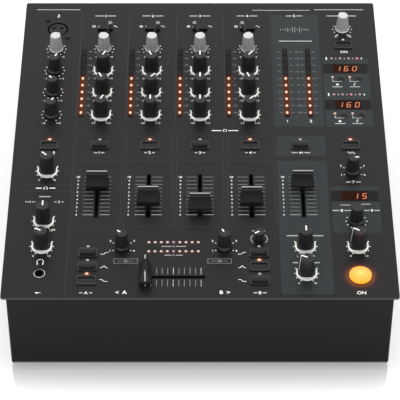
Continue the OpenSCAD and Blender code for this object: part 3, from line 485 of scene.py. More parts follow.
@dataclass(frozen=True)
class CrownLight(Look):
    """Lit orange plastic of a round switch, palest in the middle, where a highlight is painted.

    Args:
        middle: The middle of the crown's top, in millimetres.
        radius: Radius of the crown.
        wall: Height of its side.
    """

    middle: tuple[float, float, float]
    radius: float
    wall: float

    def shade(self, tree: Tree) -> Socket:
        """Builds the light of the crown and of its side.

        Args:
            tree: The material's tree.

        Returns:
            The shader's output.
        """
        away = tuple(-c * MM for c in self.middle)
        place = add_node(tree, "ShaderNodeTexCoord").outputs["Object"]
        centred = add_node(tree, "ShaderNodeMapping", Vector=place, Location=away).outputs[0]
        length = add_node(tree, "ShaderNodeVectorMath", {"operation": "LENGTH"}, i0=centred)
        # The pale yellow stops at the middle of the crown are a painted highlight
        crown_stops = [(0.0, "#fff07c"), (0.12, "#ffe070"), (0.3, "#fdc268"), (0.74, "#f8b660")]
        crown_stops += [(0.84, "#ffd08a"), (0.88, "#ffab36"), (1.0, "#f89a1c")]
        ends = {"From_Min": 0.0, "From_Max": self.radius * MM}
        out = add_node(tree, "ShaderNodeMapRange", Value=length.outputs["Value"], **ends).outputs[0]
        crown = add_ramp(tree, out, crown_stops)
        height = add_node(tree, "ShaderNodeSeparateXYZ", Vector=centred).outputs["Z"]
        ends = {"From_Min": -self.wall * MM, "From_Max": -0.4 * MM}
        down = add_node(tree, "ShaderNodeMapRange", Value=height, **ends).outputs[0]
        wall = add_ramp(tree, down, [(0.0, "#e07c10"), (0.6, "#ffab2a"), (1.0, "#ffb84c")])
        light = blend(tree, compute(tree, "GREATER_THAN", height, -1.2 * MM), wall, crown)
        values = {"Base_Color": linear("#b86a1c"), "Roughness": 0.35}
        values |= {"Emission_Color": light, "Emission_Strength": 0.9}
        return add_node(tree, "ShaderNodeBsdfPrincipled", **values).outputs[0]


@dataclass(frozen=True)
class WhiteFloor(Look):
    """A white sheet with a polish that fades away in front of the mixer.

    Args:
        front: The y of the mixer's front, in metres.
        fade: How far the polish reaches, in metres.
        polish: Share of the polish under the mixer.
    """

    front: float
    fade: float = 0.044
    polish: float = 0.62

    def shade(self, tree: Tree) -> Socket:
        """Builds the matt sheet and its polish.

        Args:
            tree: The material's tree.

        Returns:
            The shader's output.
        """
        place = add_node(tree, "ShaderNodeTexCoord").outputs["Object"]
        along = add_node(tree, "ShaderNodeSeparateXYZ", Vector=place).outputs["Y"]
        ends = {"From_Min": self.front - self.fade, "From_Max": self.front, "To_Max": self.polish}
        share = add_node(tree, "ShaderNodeMapRange", Value=along, **ends).outputs[0]
        values = {"Base_Color": linear("#fafafa"), "Roughness": 1.0, "Specular_IOR_Level": 0.0}
        values |= {"Emission_Color": linear("#ffffff"), "Emission_Strength": 0.62}
        matt = add_node(tree, "ShaderNodeBsdfPrincipled", **values).outputs[0]
        gloss = add_node(tree, "ShaderNodeBsdfGlossy", Color=linear("#ffffff"), Roughness=0.06).outputs[0]
        return add_node(tree, "ShaderNodeMixShader", i0=share, i1=matt, i2=gloss).outputs[0]


# Textured enamel: a stoved paint whose fine pebble breaks up every highlight
PANEL_ENAMEL = Finish("black_textured_enamel", "#191919", 0.38, 0.5, 0.008, specular=0.35, slot="black_paint")
# The same enamel, tinted slate for the master and effect sections
SLATE_ENAMEL = Finish("slate_textured_enamel", "#23292b", 0.38, 0.5, 0.008, specular=0.36, slot="black_paint")
# Powder coat on the folded steel body: smoother and darker than the panel
CASE_COAT = Finish("black_powder_coat", "#0f0f10", 0.5, 0.7, 0.01, specular=0.09, slot="case_paint")
# The same coat, lightened along the folded hem as a painted highlight where its rounded bend reflects the
# floor
HEM_HIGHLIGHT_PAINT = Finish("painted_hem_highlight", "#6a6a6a", 0.35, 0.7, 0.01, slot="case_paint")
# Acrylonitrile butadiene styrene, moulded with a fine spark-eroded texture, with painted shade in its grooves
# and a painted highlight on its ribs
BLACK_ABS = RibbedFinish("black_moulded_abs", "#1b1b1d", 0.34, 0.25, 0.003, specular=0.6)
# Soft-touch lacquer on the fader caps: matt, with no clear reflection
CAP_ABS = Finish("black_soft_touch", "#151516", 0.5, 0.25, 0.004, specular=0.35)
# The same plastic moulded in pale grey and in white, which shows every shade of the tent
PALE_ABS = Finish("pale_moulded_abs", "#c6c7c7", 0.45, 0.25, 0.006, colour_share=0.02, slot="grey_plastic")
RIM_ABS = Finish("white_moulded_rim", "#e6e6e4", 0.4, 0.25, 0.004, colour_share=0.02, slot="grey_plastic")
# Grey ribbed plastic of the gain knobs: satin, with painted shade as dark lines between the ribs
GREY_KNURL = KnurledFinish("grey_knurled_abs", "#a2a3a4", 0.5, 0.25, 0.01, slot="grey_plastic")
# Button tops a shade above the panel, and gloss black where nothing is textured
BUTTON_ABS = Finish("dark_grey_button_abs", "#1f1f20", 0.45, 0.2, 0.004, specular=0.4, slot="button_plastic")
GLOSS_ABS = Finish("gloss_black_abs", "#101011", 0.25, 0.6, 0.002, slot="gloss_black_plastic")
# Natural rubber feet: matt and slightly dusty
RUBBER = Finish("black_rubber", "#1c1b1b", 0.85, 0.5, 0.03, colour_share=0.15, slot="black_rubber")
# Inks from the brightest to one that hardly stands out of the enamel
WHITE_INK = Ink("white_screen_ink", "#ebebe6", colour_share=0.03)
PALE_INK = Ink("pale_screen_ink", "#b0b0ad")
GREY_INK = Ink("grey_screen_ink", "#7c7c7c")
FAINT_INK = Ink("faint_screen_ink", "#333334")
# White line moulded into a knob
INLAY = Finish("white_moulded_inlay", "#f2f2ee", 0.4, 0.3, 0.002, colour_share=0.02)
# Pale grey line along a fader cap's ridge, and under it a grey strip that is a painted highlight on the
# ridge's front edge
RIDGE_LINE = Finish("grey_ridge_line", "#a6a6a4", 0.45, 0.3, 0.002, colour_share=0.02)
RIDGE_EDGE_HIGHLIGHT = Finish("painted_ridge_edge_highlight", "#555555", 0.45, 0.3, 0.002, colour_share=0.02)
# Turned steel of the levers, and blackened steel of the screws: both draw highlights out along X
SATIN_STEEL = BrushedMetal("satin_steel_lever", "#b4b6b8", 0.35, grain_depth_mm=0.003, colour_share=0.05)
BLACK_STEEL = Finish("black_oxide_steel", "#121213", 0.4, 0.2, 0.003, metallic=0.6, slot="connector_metal")
# Smoked acrylic over the lamps: nearly black, so the lamps under it stand out
METER_GLASS = Acrylic("smoked_meter_window", "#0b0707", specular=0.07)
DISPLAY_GLASS = Acrylic("smoked_display_window", "#151414", specular=0.2)
DISPLAY_RED = Acrylic("red_display_filter", "#260d06", specular=0.07)
# Diffusing bars behind the smoked acrylic, seen when their lamps are off
UNLIT_SEGMENT = Acrylic("unlit_meter_segment", "#1d1918", 0.4, specular=0.15, slot="lamp_plastic")
# Epoxy board under green solder mask, with black moulded parts on it
CONTROL_PARTS = LayeredFinish("green_board_black_parts", "#1a1a1b", 0.5, split_mm=68.05)
SUPPLY_PARTS = LayeredFinish("green_supply_board", "#3a3b3d", 0.4, split_mm=12.0)
# Clear polystyrene of the lamps that are off: it looks milky over the dark panel
CLEAR_LAMP = Finish("clear_lamp_plastic", "#b7aaa6", 0.3, 0.3, 0.002, colour_share=0.02, slot="lamp_plastic")
# Diffusing plastic over a lit diode: nearly white over it, and its own colour at the rim
LIT_ORANGE = LampLight("lit_orange_lamp", "#fff2e2", "#ff9450")
LIT_PINK = LampLight("lit_pink_lamp", "#ecd4c9", "#8a4a3a")
DIM_RED = LampLight("dim_red_lamp", "#c0a0a6", "#5c3038")
BRIGHT_RED = LampLight("bright_red_lamp", "#e898aa", "#a03c54")
LIT_SEGMENT = LampLight("lit_meter_segment", "#ffe4d0", "#ffe4d0")
LIT_DIGIT = LampLight("lit_display_digit", "#ff9c68", "#ff9c68")


# Mesh building


@dataclass
class Solid:
    """A bmesh in millimetres that becomes one piece.

    Args:
        name: The piece's name.
        finish: Its finish.
        body: The body that it rides on.
        bm: The mesh.
    """

    name: str
    finish: Finish | LampLight
    body: str = CASE
    bm: bmesh.types.BMesh = field(default_factory=bmesh.new)

    def place(self, verts: Iterable[bmesh.types.BMVert], matrix: Matrix) -> None:
        """Transforms some vertices."""
        bmesh.ops.transform(self.bm, matrix=matrix, verts=list(verts))

    def block(
        self, low: Sequence[float], high: Sequence[float], bevel: float = 0.0, turn: Matrix = IDENTITY
    ) -> None:
        """Adds a box between two corners.

        Args:
            low: Lowest corner.
            high: Highest corner.
            bevel: Width of its rounded edges.
            turn: Where it is moved to.
        """
        made = bmesh.ops.create_cube(self.bm, size=1.0)["verts"]
        size = [h - l for l, h in zip(low, high)]
        centre = [(h + l) / 2 for l, h in zip(low, high)]
        self.place(made, turn @ Matrix.Translation(centre) @ Matrix.Diagonal((*size, 1.0)))
        if bevel:
            edges = list({e for v in made for e in v.link_edges})
            rounding = {"segments": 2, "profile": 0.5, "affect": "EDGES", "material": -1}
            bmesh.ops.bevel(self.bm, geom=edges, offset=bevel, **rounding)

    def disc(
        self, centre: Sequence[float], radius: float, height: float, segments: int = 24, top: float = 1.0
    ) -> None:
        """Adds an upright cylinder or cone on its base.

        Args:
            centre: Centre of its base.
            radius: Radius of its base.
            height: Its height.
            segments: Number of sides.
            top: Share of the radius that is left at its top.
        """
        sizes = {"radius1": radius, "radius2": radius * top, "depth": height}
        made = bmesh.ops.create_cone(self.bm, cap_ends=True, segments=segments, **sizes)["verts"]
        self.place(made, Matrix.Translation((centre[0], centre[1], centre[2] + height / 2)))

    def spin(self, profile: Sequence[Point], steps: int, closed: bool = False) -> set[bmesh.types.BMVert]:
        """Turns a profile round the vertical.

        Args:
            profile: Radii and heights.
            steps: Steps round it.
            closed: True for a profile that ends where it starts.

        Returns:
            The vertices.
        """
        verts = [self.bm.verts.new((radius, 0, z)) for radius, z in profile]
        edges = [self.bm.edges.new(pair) for pair in zip(verts, verts[1:] + (verts[:1] if closed else []))]
        whole = {"cent": (0, 0, 0), "axis": (0, 0, 1), "angle": 2 * math.pi, "use_merge": True}
        bmesh.ops.spin(self.bm, geom=verts + edges, steps=steps, **whole)
        return self.island(verts[0])

    def dome(
        self,
        centre: Sequence[float],
        radius: float,
        height: float,
        segments: int = 16,
        turn: Matrix = IDENTITY,
    ) -> None:
        """Adds a low dome by turning an arc round the vertical.

        Args:
            centre: Centre of its base.
            radius: Radius of its base.
            height: Its height.
            segments: Steps round it.
            turn: Where it is moved to.
        """
        core = self.bm.verts.layers.float.get(CORE) or self.bm.verts.layers.float.new(CORE)
        ball = (radius * radius + height * height) / (2 * height)
        steps = 6
        turns = [math.asin(min(1.0, radius / ball)) * i / steps for i in range(steps + 1)]
        arc = [(ball * math.sin(a), ball * math.cos(a) - ball + height) for a in turns]
        made = self.spin(arc + [(0, 0)], segments)
        for v in made:
            v[core] = 1 - math.hypot(v.co.x, v.co.y) / radius
        self.place(made, turn @ Matrix.Translation(tuple(centre)))

    @staticmethod
    def island(seed: bmesh.types.BMVert) -> set[bmesh.types.BMVert]:
        """Finds every vertex joined to one.

        Args:
            seed: The first vertex.

        Returns:
            All of them, with the first one.
        """
        found = {seed}
        frontier = [seed]
        while frontier:
            v = frontier.pop()
            fresh = {edge.other_vert(v) for edge in v.link_edges} - found
            found |= fresh
            frontier += fresh
        return found

    def piece(self, smooth: bool = False) -> bpy.types.Object:
        """Turns the mesh into an object on its body.

        Args:
            smooth: True for smooth shading under 40 degrees.

        Returns:
            The object.
        """
        bmesh.ops.remove_doubles(self.bm, verts=self.bm.verts, dist=1e-5)
        bmesh.ops.recalc_face_normals(self.bm, faces=self.bm.faces)
        bmesh.ops.scale(self.bm, vec=(MM, MM, MM), verts=self.bm.verts)
        mesh = bpy.data.meshes.new(self.name)
        self.bm.to_mesh(mesh)
        self.bm.free()
        if smooth:
            mesh.polygons.foreach_set("use_smooth", [True] * len(mesh.polygons))
            mesh.set_sharp_from_angle(angle=math.radians(40))
        made = bpy.data.objects.new(self.name, mesh)
        bpy.context.scene.collection.objects.link(made)
        made.data.materials.append(self.finish.material())
        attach(made, self.body)
        LOG.info("piece %s: %d faces", self.name, len(mesh.polygons))
        return made


class Lettering:
    """Flat numerals as meshes, cut from the built-in typeface."""

    def __init__(self) -> None:
        """Measures the height of a numeral."""
        self.cache: dict[tuple[str, float], bpy.types.Mesh] = {}
        self.unit = 1.0
        sample = self.mesh("0", 0.0)
        self.unit = max(v.co.y for v in sample.vertices) - min(v.co.y for v in sample.vertices)

    def mesh(self, words: str, weight: float) -> bpy.types.Mesh:
        """Cuts the numerals once, centred on their own box.

        Args:
            words: What to write.
            weight: How much thicker the strokes get.

        Returns:
            A mesh one millimetre thick whose numerals are as tall as the typeface makes them.
        """
        key = (words, weight)
        if key in self.cache:
            return self.cache[key]
        curve = bpy.data.curves.new("numerals", "FONT")
        curve.body = words
        curve.size = 1.0
        curve.extrude = 0.5
        curve.offset = weight
        curve.resolution_u = 3
        holder = bpy.data.objects.new("numerals", curve)
        bpy.context.scene.collection.objects.link(holder)
        bpy.context.view_layer.update()
        mesh = bpy.data.meshes.new_from_object(holder.evaluated_get(bpy.context.evaluated_depsgraph_get()))
        bpy.data.objects.remove(holder)
        bpy.data.curves.remove(curve)
        xs = [v.co.x for v in mesh.vertices]
        ys = [v.co.y for v in mesh.vertices]
        middle = Vector(((max(xs) + min(xs)) / 2, (max(ys) + min(ys)) / 2, 0))
        mesh.transform(Matrix.Translation(-middle))
        self.cache[key] = mesh
        return mesh


@dataclass
class InkLayer(Solid):
    """Marks of one ink on a flat surface, each a thin closed plate.

    Args:
        surface_z: Height of the surface.
        thickness: Thickness of the ink.
        letters: The numerals that it prints.
    """

    surface_z: float = 0.0
    thickness: float = 0.03
    letters: Lettering | None = None

    def raise_faces(self, faces: list[bmesh.types.BMFace]) -> None:
        """Turns flat faces on the surface into plates of the ink's thickness.

        Args:
            faces: The faces.
        """
        grown = bmesh.ops.extrude_face_region(self.bm, geom=faces)["geom"]
        tops = [v for v in grown if isinstance(v, bmesh.types.BMVert)]
        bmesh.ops.translate(self.bm, vec=(0, 0, self.thickness), verts=tops)

    def stroke(self, points: Sequence[Point], width: float | Sequence[float], closed: bool = False) -> None:
        """Draws a line of a given width, or of a width for each point.

        Args:
            points: The middle of the line.
            width: Its width, or one width for each point.
            closed: True for a line that ends where it starts.
        """
        count = len(points)
        widths = [width] * count if isinstance(width, (int, float)) else list(width)
        pairs = []
        for i, (x, y) in enumerate(points):
            before = points[i - 1] if i or closed else points[i]
            after = points[(i + 1) % count] if i < count - 1 or closed else points[i]
            into = Vector((x - before[0], y - before[1]))
            out = Vector((after[0] - x, after[1] - y))
            into, out = (v.normalized() if v.length else v for v in (into, out))
            along = (into + out).normalized()
            bend = max(0.5, along.dot(into if into.length else out))
            side = Vector((-along.y, along.x)) * widths[i] / 2 / bend
            places = [(x + s * side.x, y + s * side.y, self.surface_z) for s in (1, -1)]
            pairs.append([self.bm.verts.new(place) for place in places])
        steps = list(zip(pairs, pairs[1:] + (pairs[:1] if closed else [])))
        self.raise_faces([self.bm.faces.new((a[0], a[1], b[1], b[0])) for a, b in steps])

    def sheet(self, low: Point, high: Point, holes: Sequence[tuple[Point, Point]] = ()) -> None:
        """Lays a rectangle with rectangular holes.

        Args:
            low: Its lower left corner.
            high: Its upper right corner.
            holes: The two corners of each hole.
        """
        xs = sorted({low[0], high[0]} | {corner[0] for hole in holes for corner in hole})
        ys = sorted({low[1], high[1]} | {corner[1] for hole in holes for corner in hole})
        at = {(x, y): self.bm.verts.new((x, y, self.surface_z)) for x in xs for y in ys}
        faces = []
        for x0, x1 in zip(xs, xs[1:]):
            for y0, y1 in zip(ys, ys[1:]):
                if not any(a[0] <= x0 and x1 <= b[0] and a[1] <= y0 and y1 <= b[1] for a, b in holes):
                    faces.append(self.bm.faces.new((at[x0, y0], at[x1, y0], at[x1, y1], at[x0, y1])))
        for v in at.values():
            if not v.link_faces:
                self.bm.verts.remove(v)
        self.raise_faces(faces)

    def line(self, start: Point, end: Point, width: float) -> None:
        """Draws one straight line."""
        self.stroke([start, end], width)

    def arc(self, centre: Point, radius: float, start: float, end: float, width: float) -> None:
        """Draws an arc.

        Args:
            centre: Its centre.
            radius: Its radius.
            start: Where it starts, in degrees anticlockwise from +X.
            end: Where it ends.
            width: Its width.
        """
        full = abs(end - start) >= 360
        steps = max(4, int(abs(end - start) / 12))
        turns = [math.radians(start + (end - start) * i / steps) for i in range(steps + (0 if full else 1))]
        path = [(centre[0] + radius * math.cos(a), centre[1] + radius * math.sin(a)) for a in turns]
        self.stroke(path, width, full)

    def dot(self, x: float, y: float, radius: float) -> None:
        """Prints a dot."""
        self.disc((x, y, self.surface_z), radius, self.thickness, segments=10)

    def bar(self, low: Point, high: Point) -> None:
        """Prints a filled rectangle."""
        self.block((*low, self.surface_z), (*high, self.surface_z + self.thickness))

    def frame(self, low: Point, high: Point, width: float) -> None:
        """Prints the outline of a rectangle."""
        corners = [low, (high[0], low[1]), high, (low[0], high[1])]
        self.stroke(corners, width, closed=True)

    def numerals(self, words: str, x: float, y: float, height: float, weight: float = 0.015) -> float:
        """Prints numerals.

        Args:
            words: What to print.
            x: Their middle.
            y: Their middle.
            height: Height of a numeral.
            weight: How much thicker the strokes get.

        Returns:
            The width of what was printed.
        """
        mesh = self.letters.mesh(words, weight)
        scale = height / self.letters.unit
        up = self.surface_z + self.thickness / 2
        placed = mesh.copy()
        scaled = Matrix.Diagonal((scale, scale, self.thickness, 1.0))
        placed.transform(Matrix.Translation((x, y, up)) @ scaled)
        self.bm.from_mesh(placed)
        bpy.data.meshes.remove(placed)
        xs = [v.co.x for v in mesh.vertices]
        return (max(xs) - min(xs)) * scale


class Symbol(Enum):
    """Plain symbols that stand beside the controls."""

    MICROPHONE = "microphone"
    HEADPHONES = "headphones"
    RECORD = "record"
    LINE = "line"
    HIGH_SHELF = "high_shelf"
    BELL = "bell"
    LOW_SHELF = "low_shelf"
    LEFT = "left"
    RIGHT = "right"
    LOCK = "lock"
    NOTE = "note"
    SPEAKER = "speaker"
    WAVE = "wave"
    JACK = "jack"


@dataclass
class SymbolPress:
    """Prints symbols in one ink.

    Args:
        ink: The ink layer.
        weight: Width of a stroke.
    """

    ink: InkLayer
    weight: float = 0.5

    def curve(self, symbol: Symbol) -> list[Point]:
        """Returns the line of a symbol that is one stroke.

        Args:
            symbol: Which one.

        Returns:
            Its points, in halves of its height about its middle.
        """
        if symbol in (Symbol.LINE, Symbol.WAVE):
            cycles = 1 if symbol is Symbol.LINE else 2
            shares = [i / (10 * cycles) for i in range(10 * cycles + 1)]
            return [(1.3 * cycles * (2 * t - 1), 0.8 * math.sin(2 * math.pi * cycles * t)) for t in shares]
        if symbol is Symbol.BELL:
            return [(2.2 * t / 8, 1.6 * math.exp(-((t / 3) ** 2)) - 0.7) for t in range(-8, 9)]
        if symbol is Symbol.HIGH_SHELF:
            return [(-2.4, -0.6), (-0.3, -0.6), (0.7, 0.8), (2.4, 0.8)]
        return [(-2.4, 0.8), (-0.7, 0.8), (0.3, -0.6), (2.4, -0.6)]

    def press(self, symbol: Symbol, x: float, y: float, size: float) -> None:
        """Prints a symbol.

        Args:
            symbol: Which one.
            x: Its middle.
            y: Its middle.
            size: Its height.
        """
        ink, w, h = self.ink, self.weight, size / 2
        at = partial(self.scaled, (x, y), h)
        if symbol is Symbol.MICROPHONE:
            ink.stroke(at((0, 1), (0, 0.1)), w * 2)
            ink.arc((x, y + 0.15 * h), 0.55 * h, 180, 360, w * 0.8)
            ink.line(*at((0, -0.45), (0, -1)), w * 0.8)
            ink.line(*at((-0.45, -1), (0.45, -1)), w * 0.8)
        elif symbol is Symbol.HEADPHONES:
            ink.arc((x, y), 0.9 * h, -10, 190, w)
            for side in SIDES:
                ink.line(*at((0.72 * side, -0.2), (0.72 * side, -1)), w * 1.7)
        elif symbol is Symbol.RECORD:
            ink.arc((x, y), 0.85 * h, 0, 360, w)
            ink.dot(x, y, 0.25 * h)
        elif symbol in (Symbol.LEFT, Symbol.RIGHT):
            s = 1 if symbol is Symbol.LEFT else -1
            ink.stroke(at((0.8 * s, 0.7), (-0.7 * s, 0), (0.8 * s, -0.7)), w * 1.3)
        elif symbol is Symbol.LOCK:
            ink.bar((x - 0.7 * h, y - h), (x + 0.7 * h, y + 0.05 * h))
            ink.arc((x, y + 0.1 * h), 0.45 * h, 0, 180, w * 0.8)
        elif symbol is Symbol.NOTE:
            ink.dot(x - 0.35 * h, y - 0.65 * h, 0.4 * h)
            ink.stroke(at((0, -0.65), (0, 0.95), (0.75, 0.45)), w * 0.8)
        elif symbol is Symbol.SPEAKER:
            ink.stroke(at((-1.1, 0), (-0.6, 0), (0, 0)), [0.7 * h, 0.7 * h, 1.8 * h])
            for radius in (0.6, 1.1):
                ink.arc((x, y), radius * h, -45, 45, w * 0.8)
        elif symbol is Symbol.JACK:
            ink.line(*at((-1.6, 0), (0.2, 0)), w * 2.4)
            ink.line(*at((0.35, 0), (1.6, 0)), w)
        else:
            ink.stroke(at(*self.curve(symbol)), w)

    @staticmethod
    def scaled(middle: Point, half: float, *points: Point) -> list[Point]:
        """Returns points of a symbol at its place and size."""
        return [(middle[0] + px * half, middle[1] + py * half) for px, py in points]


# The mixer's own layout, in millimetres


@dataclass(frozen=True)
class Layout:
    """Rows and columns of the top panel that the prints share with the controls."""

    column_pitch: float = 43.2
    mic_column: int = 0
    master_column: int = 5
    effect_column: int = 6
    cue_column: float = 3.5
    meter_offset: float = 17.7
    master_meter_offset: float = 10.2
    cue_row: float = -6.8
    lamp_offset: float = 7.3
    fader_middle: float = -68.5
    fader_travel: float = 45.0
    crossfader: Point = (-21.6, -162.0)
    counter_rows: tuple[float, float] = (-123.0, -133.3)
    counter_pitch: float = 5.06
    beat_rows: tuple[float, float] = (107.0, 58.5)
    beat_first: float = 118.1
    beat_pitch: float = 7.6
    tempo_rows: tuple[float, float] = (81.6, 33.6)
    display_rows: tuple[float, float, float] = (93.2, 45.2, -68.8)
    tempo_columns: tuple[float, float] = (-11.7, 3.6)
    band_rows: tuple[float, float, float] = (-135.6, -150.8, -166.0)
    kill_columns: tuple[float, float] = (-91.6, 48.3)
    meter_low: float = 35.0
    meter_pitch: float = 9.0
    header_row: float = 166.5
    input_row: float = 151.6
    label_row: float = -16.0
    foot_row: float = -179.3

    def column(self, index: float) -> float:
        """Returns the x of a column."""
        return (index - 3) * self.column_pitch

    def meters(self) -> list[float]:
        """Returns the x of each level meter."""
        channels = [self.column(c) - self.meter_offset for c in CHANNELS]
        return channels + [
            self.column(self.master_column) + side * self.master_meter_offset for side in SIDES
        ]

    def meter_rows(self) -> list[float]:
        """Returns the y of each level, from the lowest."""
        return [self.meter_low + self.meter_pitch * i for i in range(10)]


LAYOUT = Layout()


def around(x: float, y: float, radius: float, turn: float) -> Point:
    """Returns a place round a middle, at a turn in degrees clockwise from the rear."""
    return (x + radius * math.sin(math.radians(turn)), y + radius * math.cos(math.radians(turn)))


class KnobKind(Enum):
    """How a rotary control is printed and inlaid."""

    TALL = "tall"
    SKIRTED = "skirted"
    GAIN = "gain"
    SELECTOR = "selector"
    SMALL = "small"


@dataclass(frozen=True)
class Knob:
    """One rotary control.

    Args:
        node: Its node, which is also its body.
        joint: Its joint.
        kind: How it looks.
        ends: What is printed at the two ends of its scale.
    """

    node: str
    joint: str
    kind: KnobKind
    ends: tuple[str, str]


def knobs() -> list[Knob]:
    """Returns every rotary control."""
    bands = ("high", "mid", "low")
    rows = [("mic_level", KnobKind.GAIN, ("0", "10"))]
    rows += [(f"mic_{band}", KnobKind.SKIRTED, ("-12", "+12")) for band in bands]
    for c in CHANNELS:
        rows.append((f"ch{c}_gain", KnobKind.GAIN, ("0", "+9")))
        rows += [(f"ch{c}_{band}", KnobKind.TALL, ("-24", "+12")) for band in bands]
    for name in ("talkover_level", "headphone_mix", "headphone_level", "effect_depth", "booth_level"):
        rows.append((name, KnobKind.TALL, ("0", "10")))
    rows += [("master_balance", KnobKind.TALL, ("L", "R")), ("surround", KnobKind.GAIN, ("0", "10"))]
    rows.append(("effect_select", KnobKind.SKIRTED, ("", "")))
    rows += [(name, KnobKind.SELECTOR, ("", "")) for name in ("effect_source", "assign_a", "assign_b")]
    rows.append(("crossfade_curve", KnobKind.SMALL, ("", "")))
    return [Knob(f"{name}_knob", f"{name}_turn", kind, ends) for name, kind, ends in rows]


@dataclass
class PackedFrame:
    """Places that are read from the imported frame.
    """

    data: dict

    def joint(self, name: str) -> dict:
        """Returns a joint by its name."""
        return next(j for j in self.data["joints"] if j["name"] == name)

    def pivot(self, name: str) -> Point:
        """Returns the x and y of a hinge, in millimetres."""
        x, y, _ = self.joint(name)["pos_m"]
        return (x / MM, y / MM)

    def pointer(self, name: str) -> float:
        """Returns the way a pointer faces at rest, clockwise from the rear, in degrees."""
        low, high = self.joint(name).get("range_deg", (0.0, 0.0))
        return (low + high) / 2

    def box(self, node: str) -> tuple[Vector, Vector]:
        """Returns a node's corners in millimetres."""
        low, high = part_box(node)
        return low / MM, high / MM

    def dress(self, node: str, finish: Look) -> None:
        """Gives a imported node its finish.

        Args:
            node: The node's name.
            finish: The finish.
        """
        mesh = self.data["nodes"][node].data
        mesh.materials.clear()
        mesh.materials.append(finish.material())


# Sub-assemblies


@dataclass
class Knobs:
    """The rotary controls' finishes and inlays.

    Args:
        frame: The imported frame.
        line_width: Width of a pointer line.
        line_height: How far a line stands out of its groove.
        side_height: How far the line on a tall knob's side stands out.
        groove: Depth of a groove.
        tall_top: Radius of a tall knob at its top.
        tall_foot: Its radius at its foot.
        foot_z: Height of its foot.
        skirted_top: Radius of a knob with a skirt at its top.
        small_top: Radius of the small knob at its top.
        skirt: Radius of the skirt.
        skirt_gap: Gap between the skirt and the panel.
        skirt_height: Height of the skirt.
    """

    frame: PackedFrame
    line_width: float = 1.2
    line_height: float = 0.05
    side_height: float = 0.45
    groove: float = 0.35
    tall_top: float = 5.2
    tall_foot: float = 6.4
    foot_z: float = 90.2
    skirted_top: float = 4.6
    small_top: float = 4.2
    skirt: float = 6.5
    skirt_gap: float = 0.9
    skirt_height: float = 1.0

    def build(self) -> None:
        """Dresses every knob."""
        for knob in knobs():
            if knob.kind is KnobKind.GAIN:
                turn = math.pi / 2 - math.radians(self.frame.pointer(knob.joint))
                places = {"axis": self.frame.pivot(knob.joint), "turn": turn}
                self.frame.dress(knob.node, replace(GREY_KNURL, name=knob.node + "_grey", **places))
                self.skirt_rim(knob)
                self.pale_top(knob)
            else:
                self.frame.dress(knob.node, BLACK_ABS)
                if knob.node != "effect_select_knob":
                    self.pointer(knob)

    def turned(self, knob: Knob) -> Matrix:
        """Finds the way from a knob that points to the rear at the origin to its place.

        Args:
            knob: The knob.

        Returns:
            The transform.
        """
        x, y = self.frame.pivot(knob.joint)
        angle = -math.radians(self.frame.pointer(knob.joint))
        return Matrix.Translation((x, y, 0)) @ Matrix.Rotation(angle, 4, "Z")

    def pointer(self, knob: Knob) -> None:
        """Fills the line that is cut in a knob.

        Args:
            knob: The knob.
        """
        line = Solid(knob.node + "_line", INLAY, knob.node)
        head = self.frame.box(knob.node)[1].z
        half = self.line_width / 2
        tops = {KnobKind.TALL: self.tall_top, KnobKind.SMALL: self.small_top}
        radius = tops.get(knob.kind, self.skirted_top)
        start = (-half, 0.0 if knob.kind in tops else 0.3 * radius, head - self.groove)
        line.block(start, (half, radius + 0.02, head + self.line_height), bevel=0.04)
        if knob.kind is KnobKind.TALL:
            rise = head - self.foot_z
            lean = math.atan2(self.tall_foot - self.tall_top, rise)
            tilt = Matrix.Translation((0, self.tall_foot, self.foot_z)) @ Matrix.Rotation(lean, 4, "X")
            top = rise / math.cos(lean) - 0.3
            line.block((-half, -self.groove, 0.6), (half, self.side_height, top), turn=tilt)
        line.place(line.bm.verts, self.turned(knob))
        line.piece()

    def skirt_rim(self, knob: Knob) -> None:
        """Adds the white rim round the skirt of a gain knob.

        Args:
            knob: The knob.
        """
        rim = Solid(knob.node + "_rim", RIM_ABS, knob.node)
        low = max(self.frame.box(knob.node)[0].z, self.frame.box("top_panel")[1].z + self.skirt_gap)
        high = low + self.skirt_height
        inner, outer, skin = self.skirt - 0.9, self.skirt + 0.05, self.skirt - 0.02
        section = [(inner, high), (inner, high + 0.05), (self.skirt, high + 0.05), (outer, high)]
        section += [(outer, low + 0.1), (skin, low + 0.1), (skin, high)]
        rim.spin(section, 48, closed=True)
        rim.place(rim.bm.verts, self.turned(knob))
        rim.piece(smooth=True)

    def pale_top(self, knob: Knob) -> None:
        """Caps a grey knob with its pale disc and colours its nub.

        Args:
            knob: The knob.
        """
        disc = Solid(knob.node + "_cap", PALE_ABS, knob.node)
        head = self.frame.box(knob.node)[1].z
        disc.disc((0, 0, head - 0.1), self.skirted_top - 0.25, 0.25, segments=40, top=0.96)
        nub = (-0.67, self.skirted_top - 0.4, head - 5.0)
        disc.block(nub, (0.67, self.skirted_top + 0.84, head - 0.45), bevel=0.1)
        disc.place(disc.bm.verts, self.turned(knob))
        disc.piece(smooth=True)


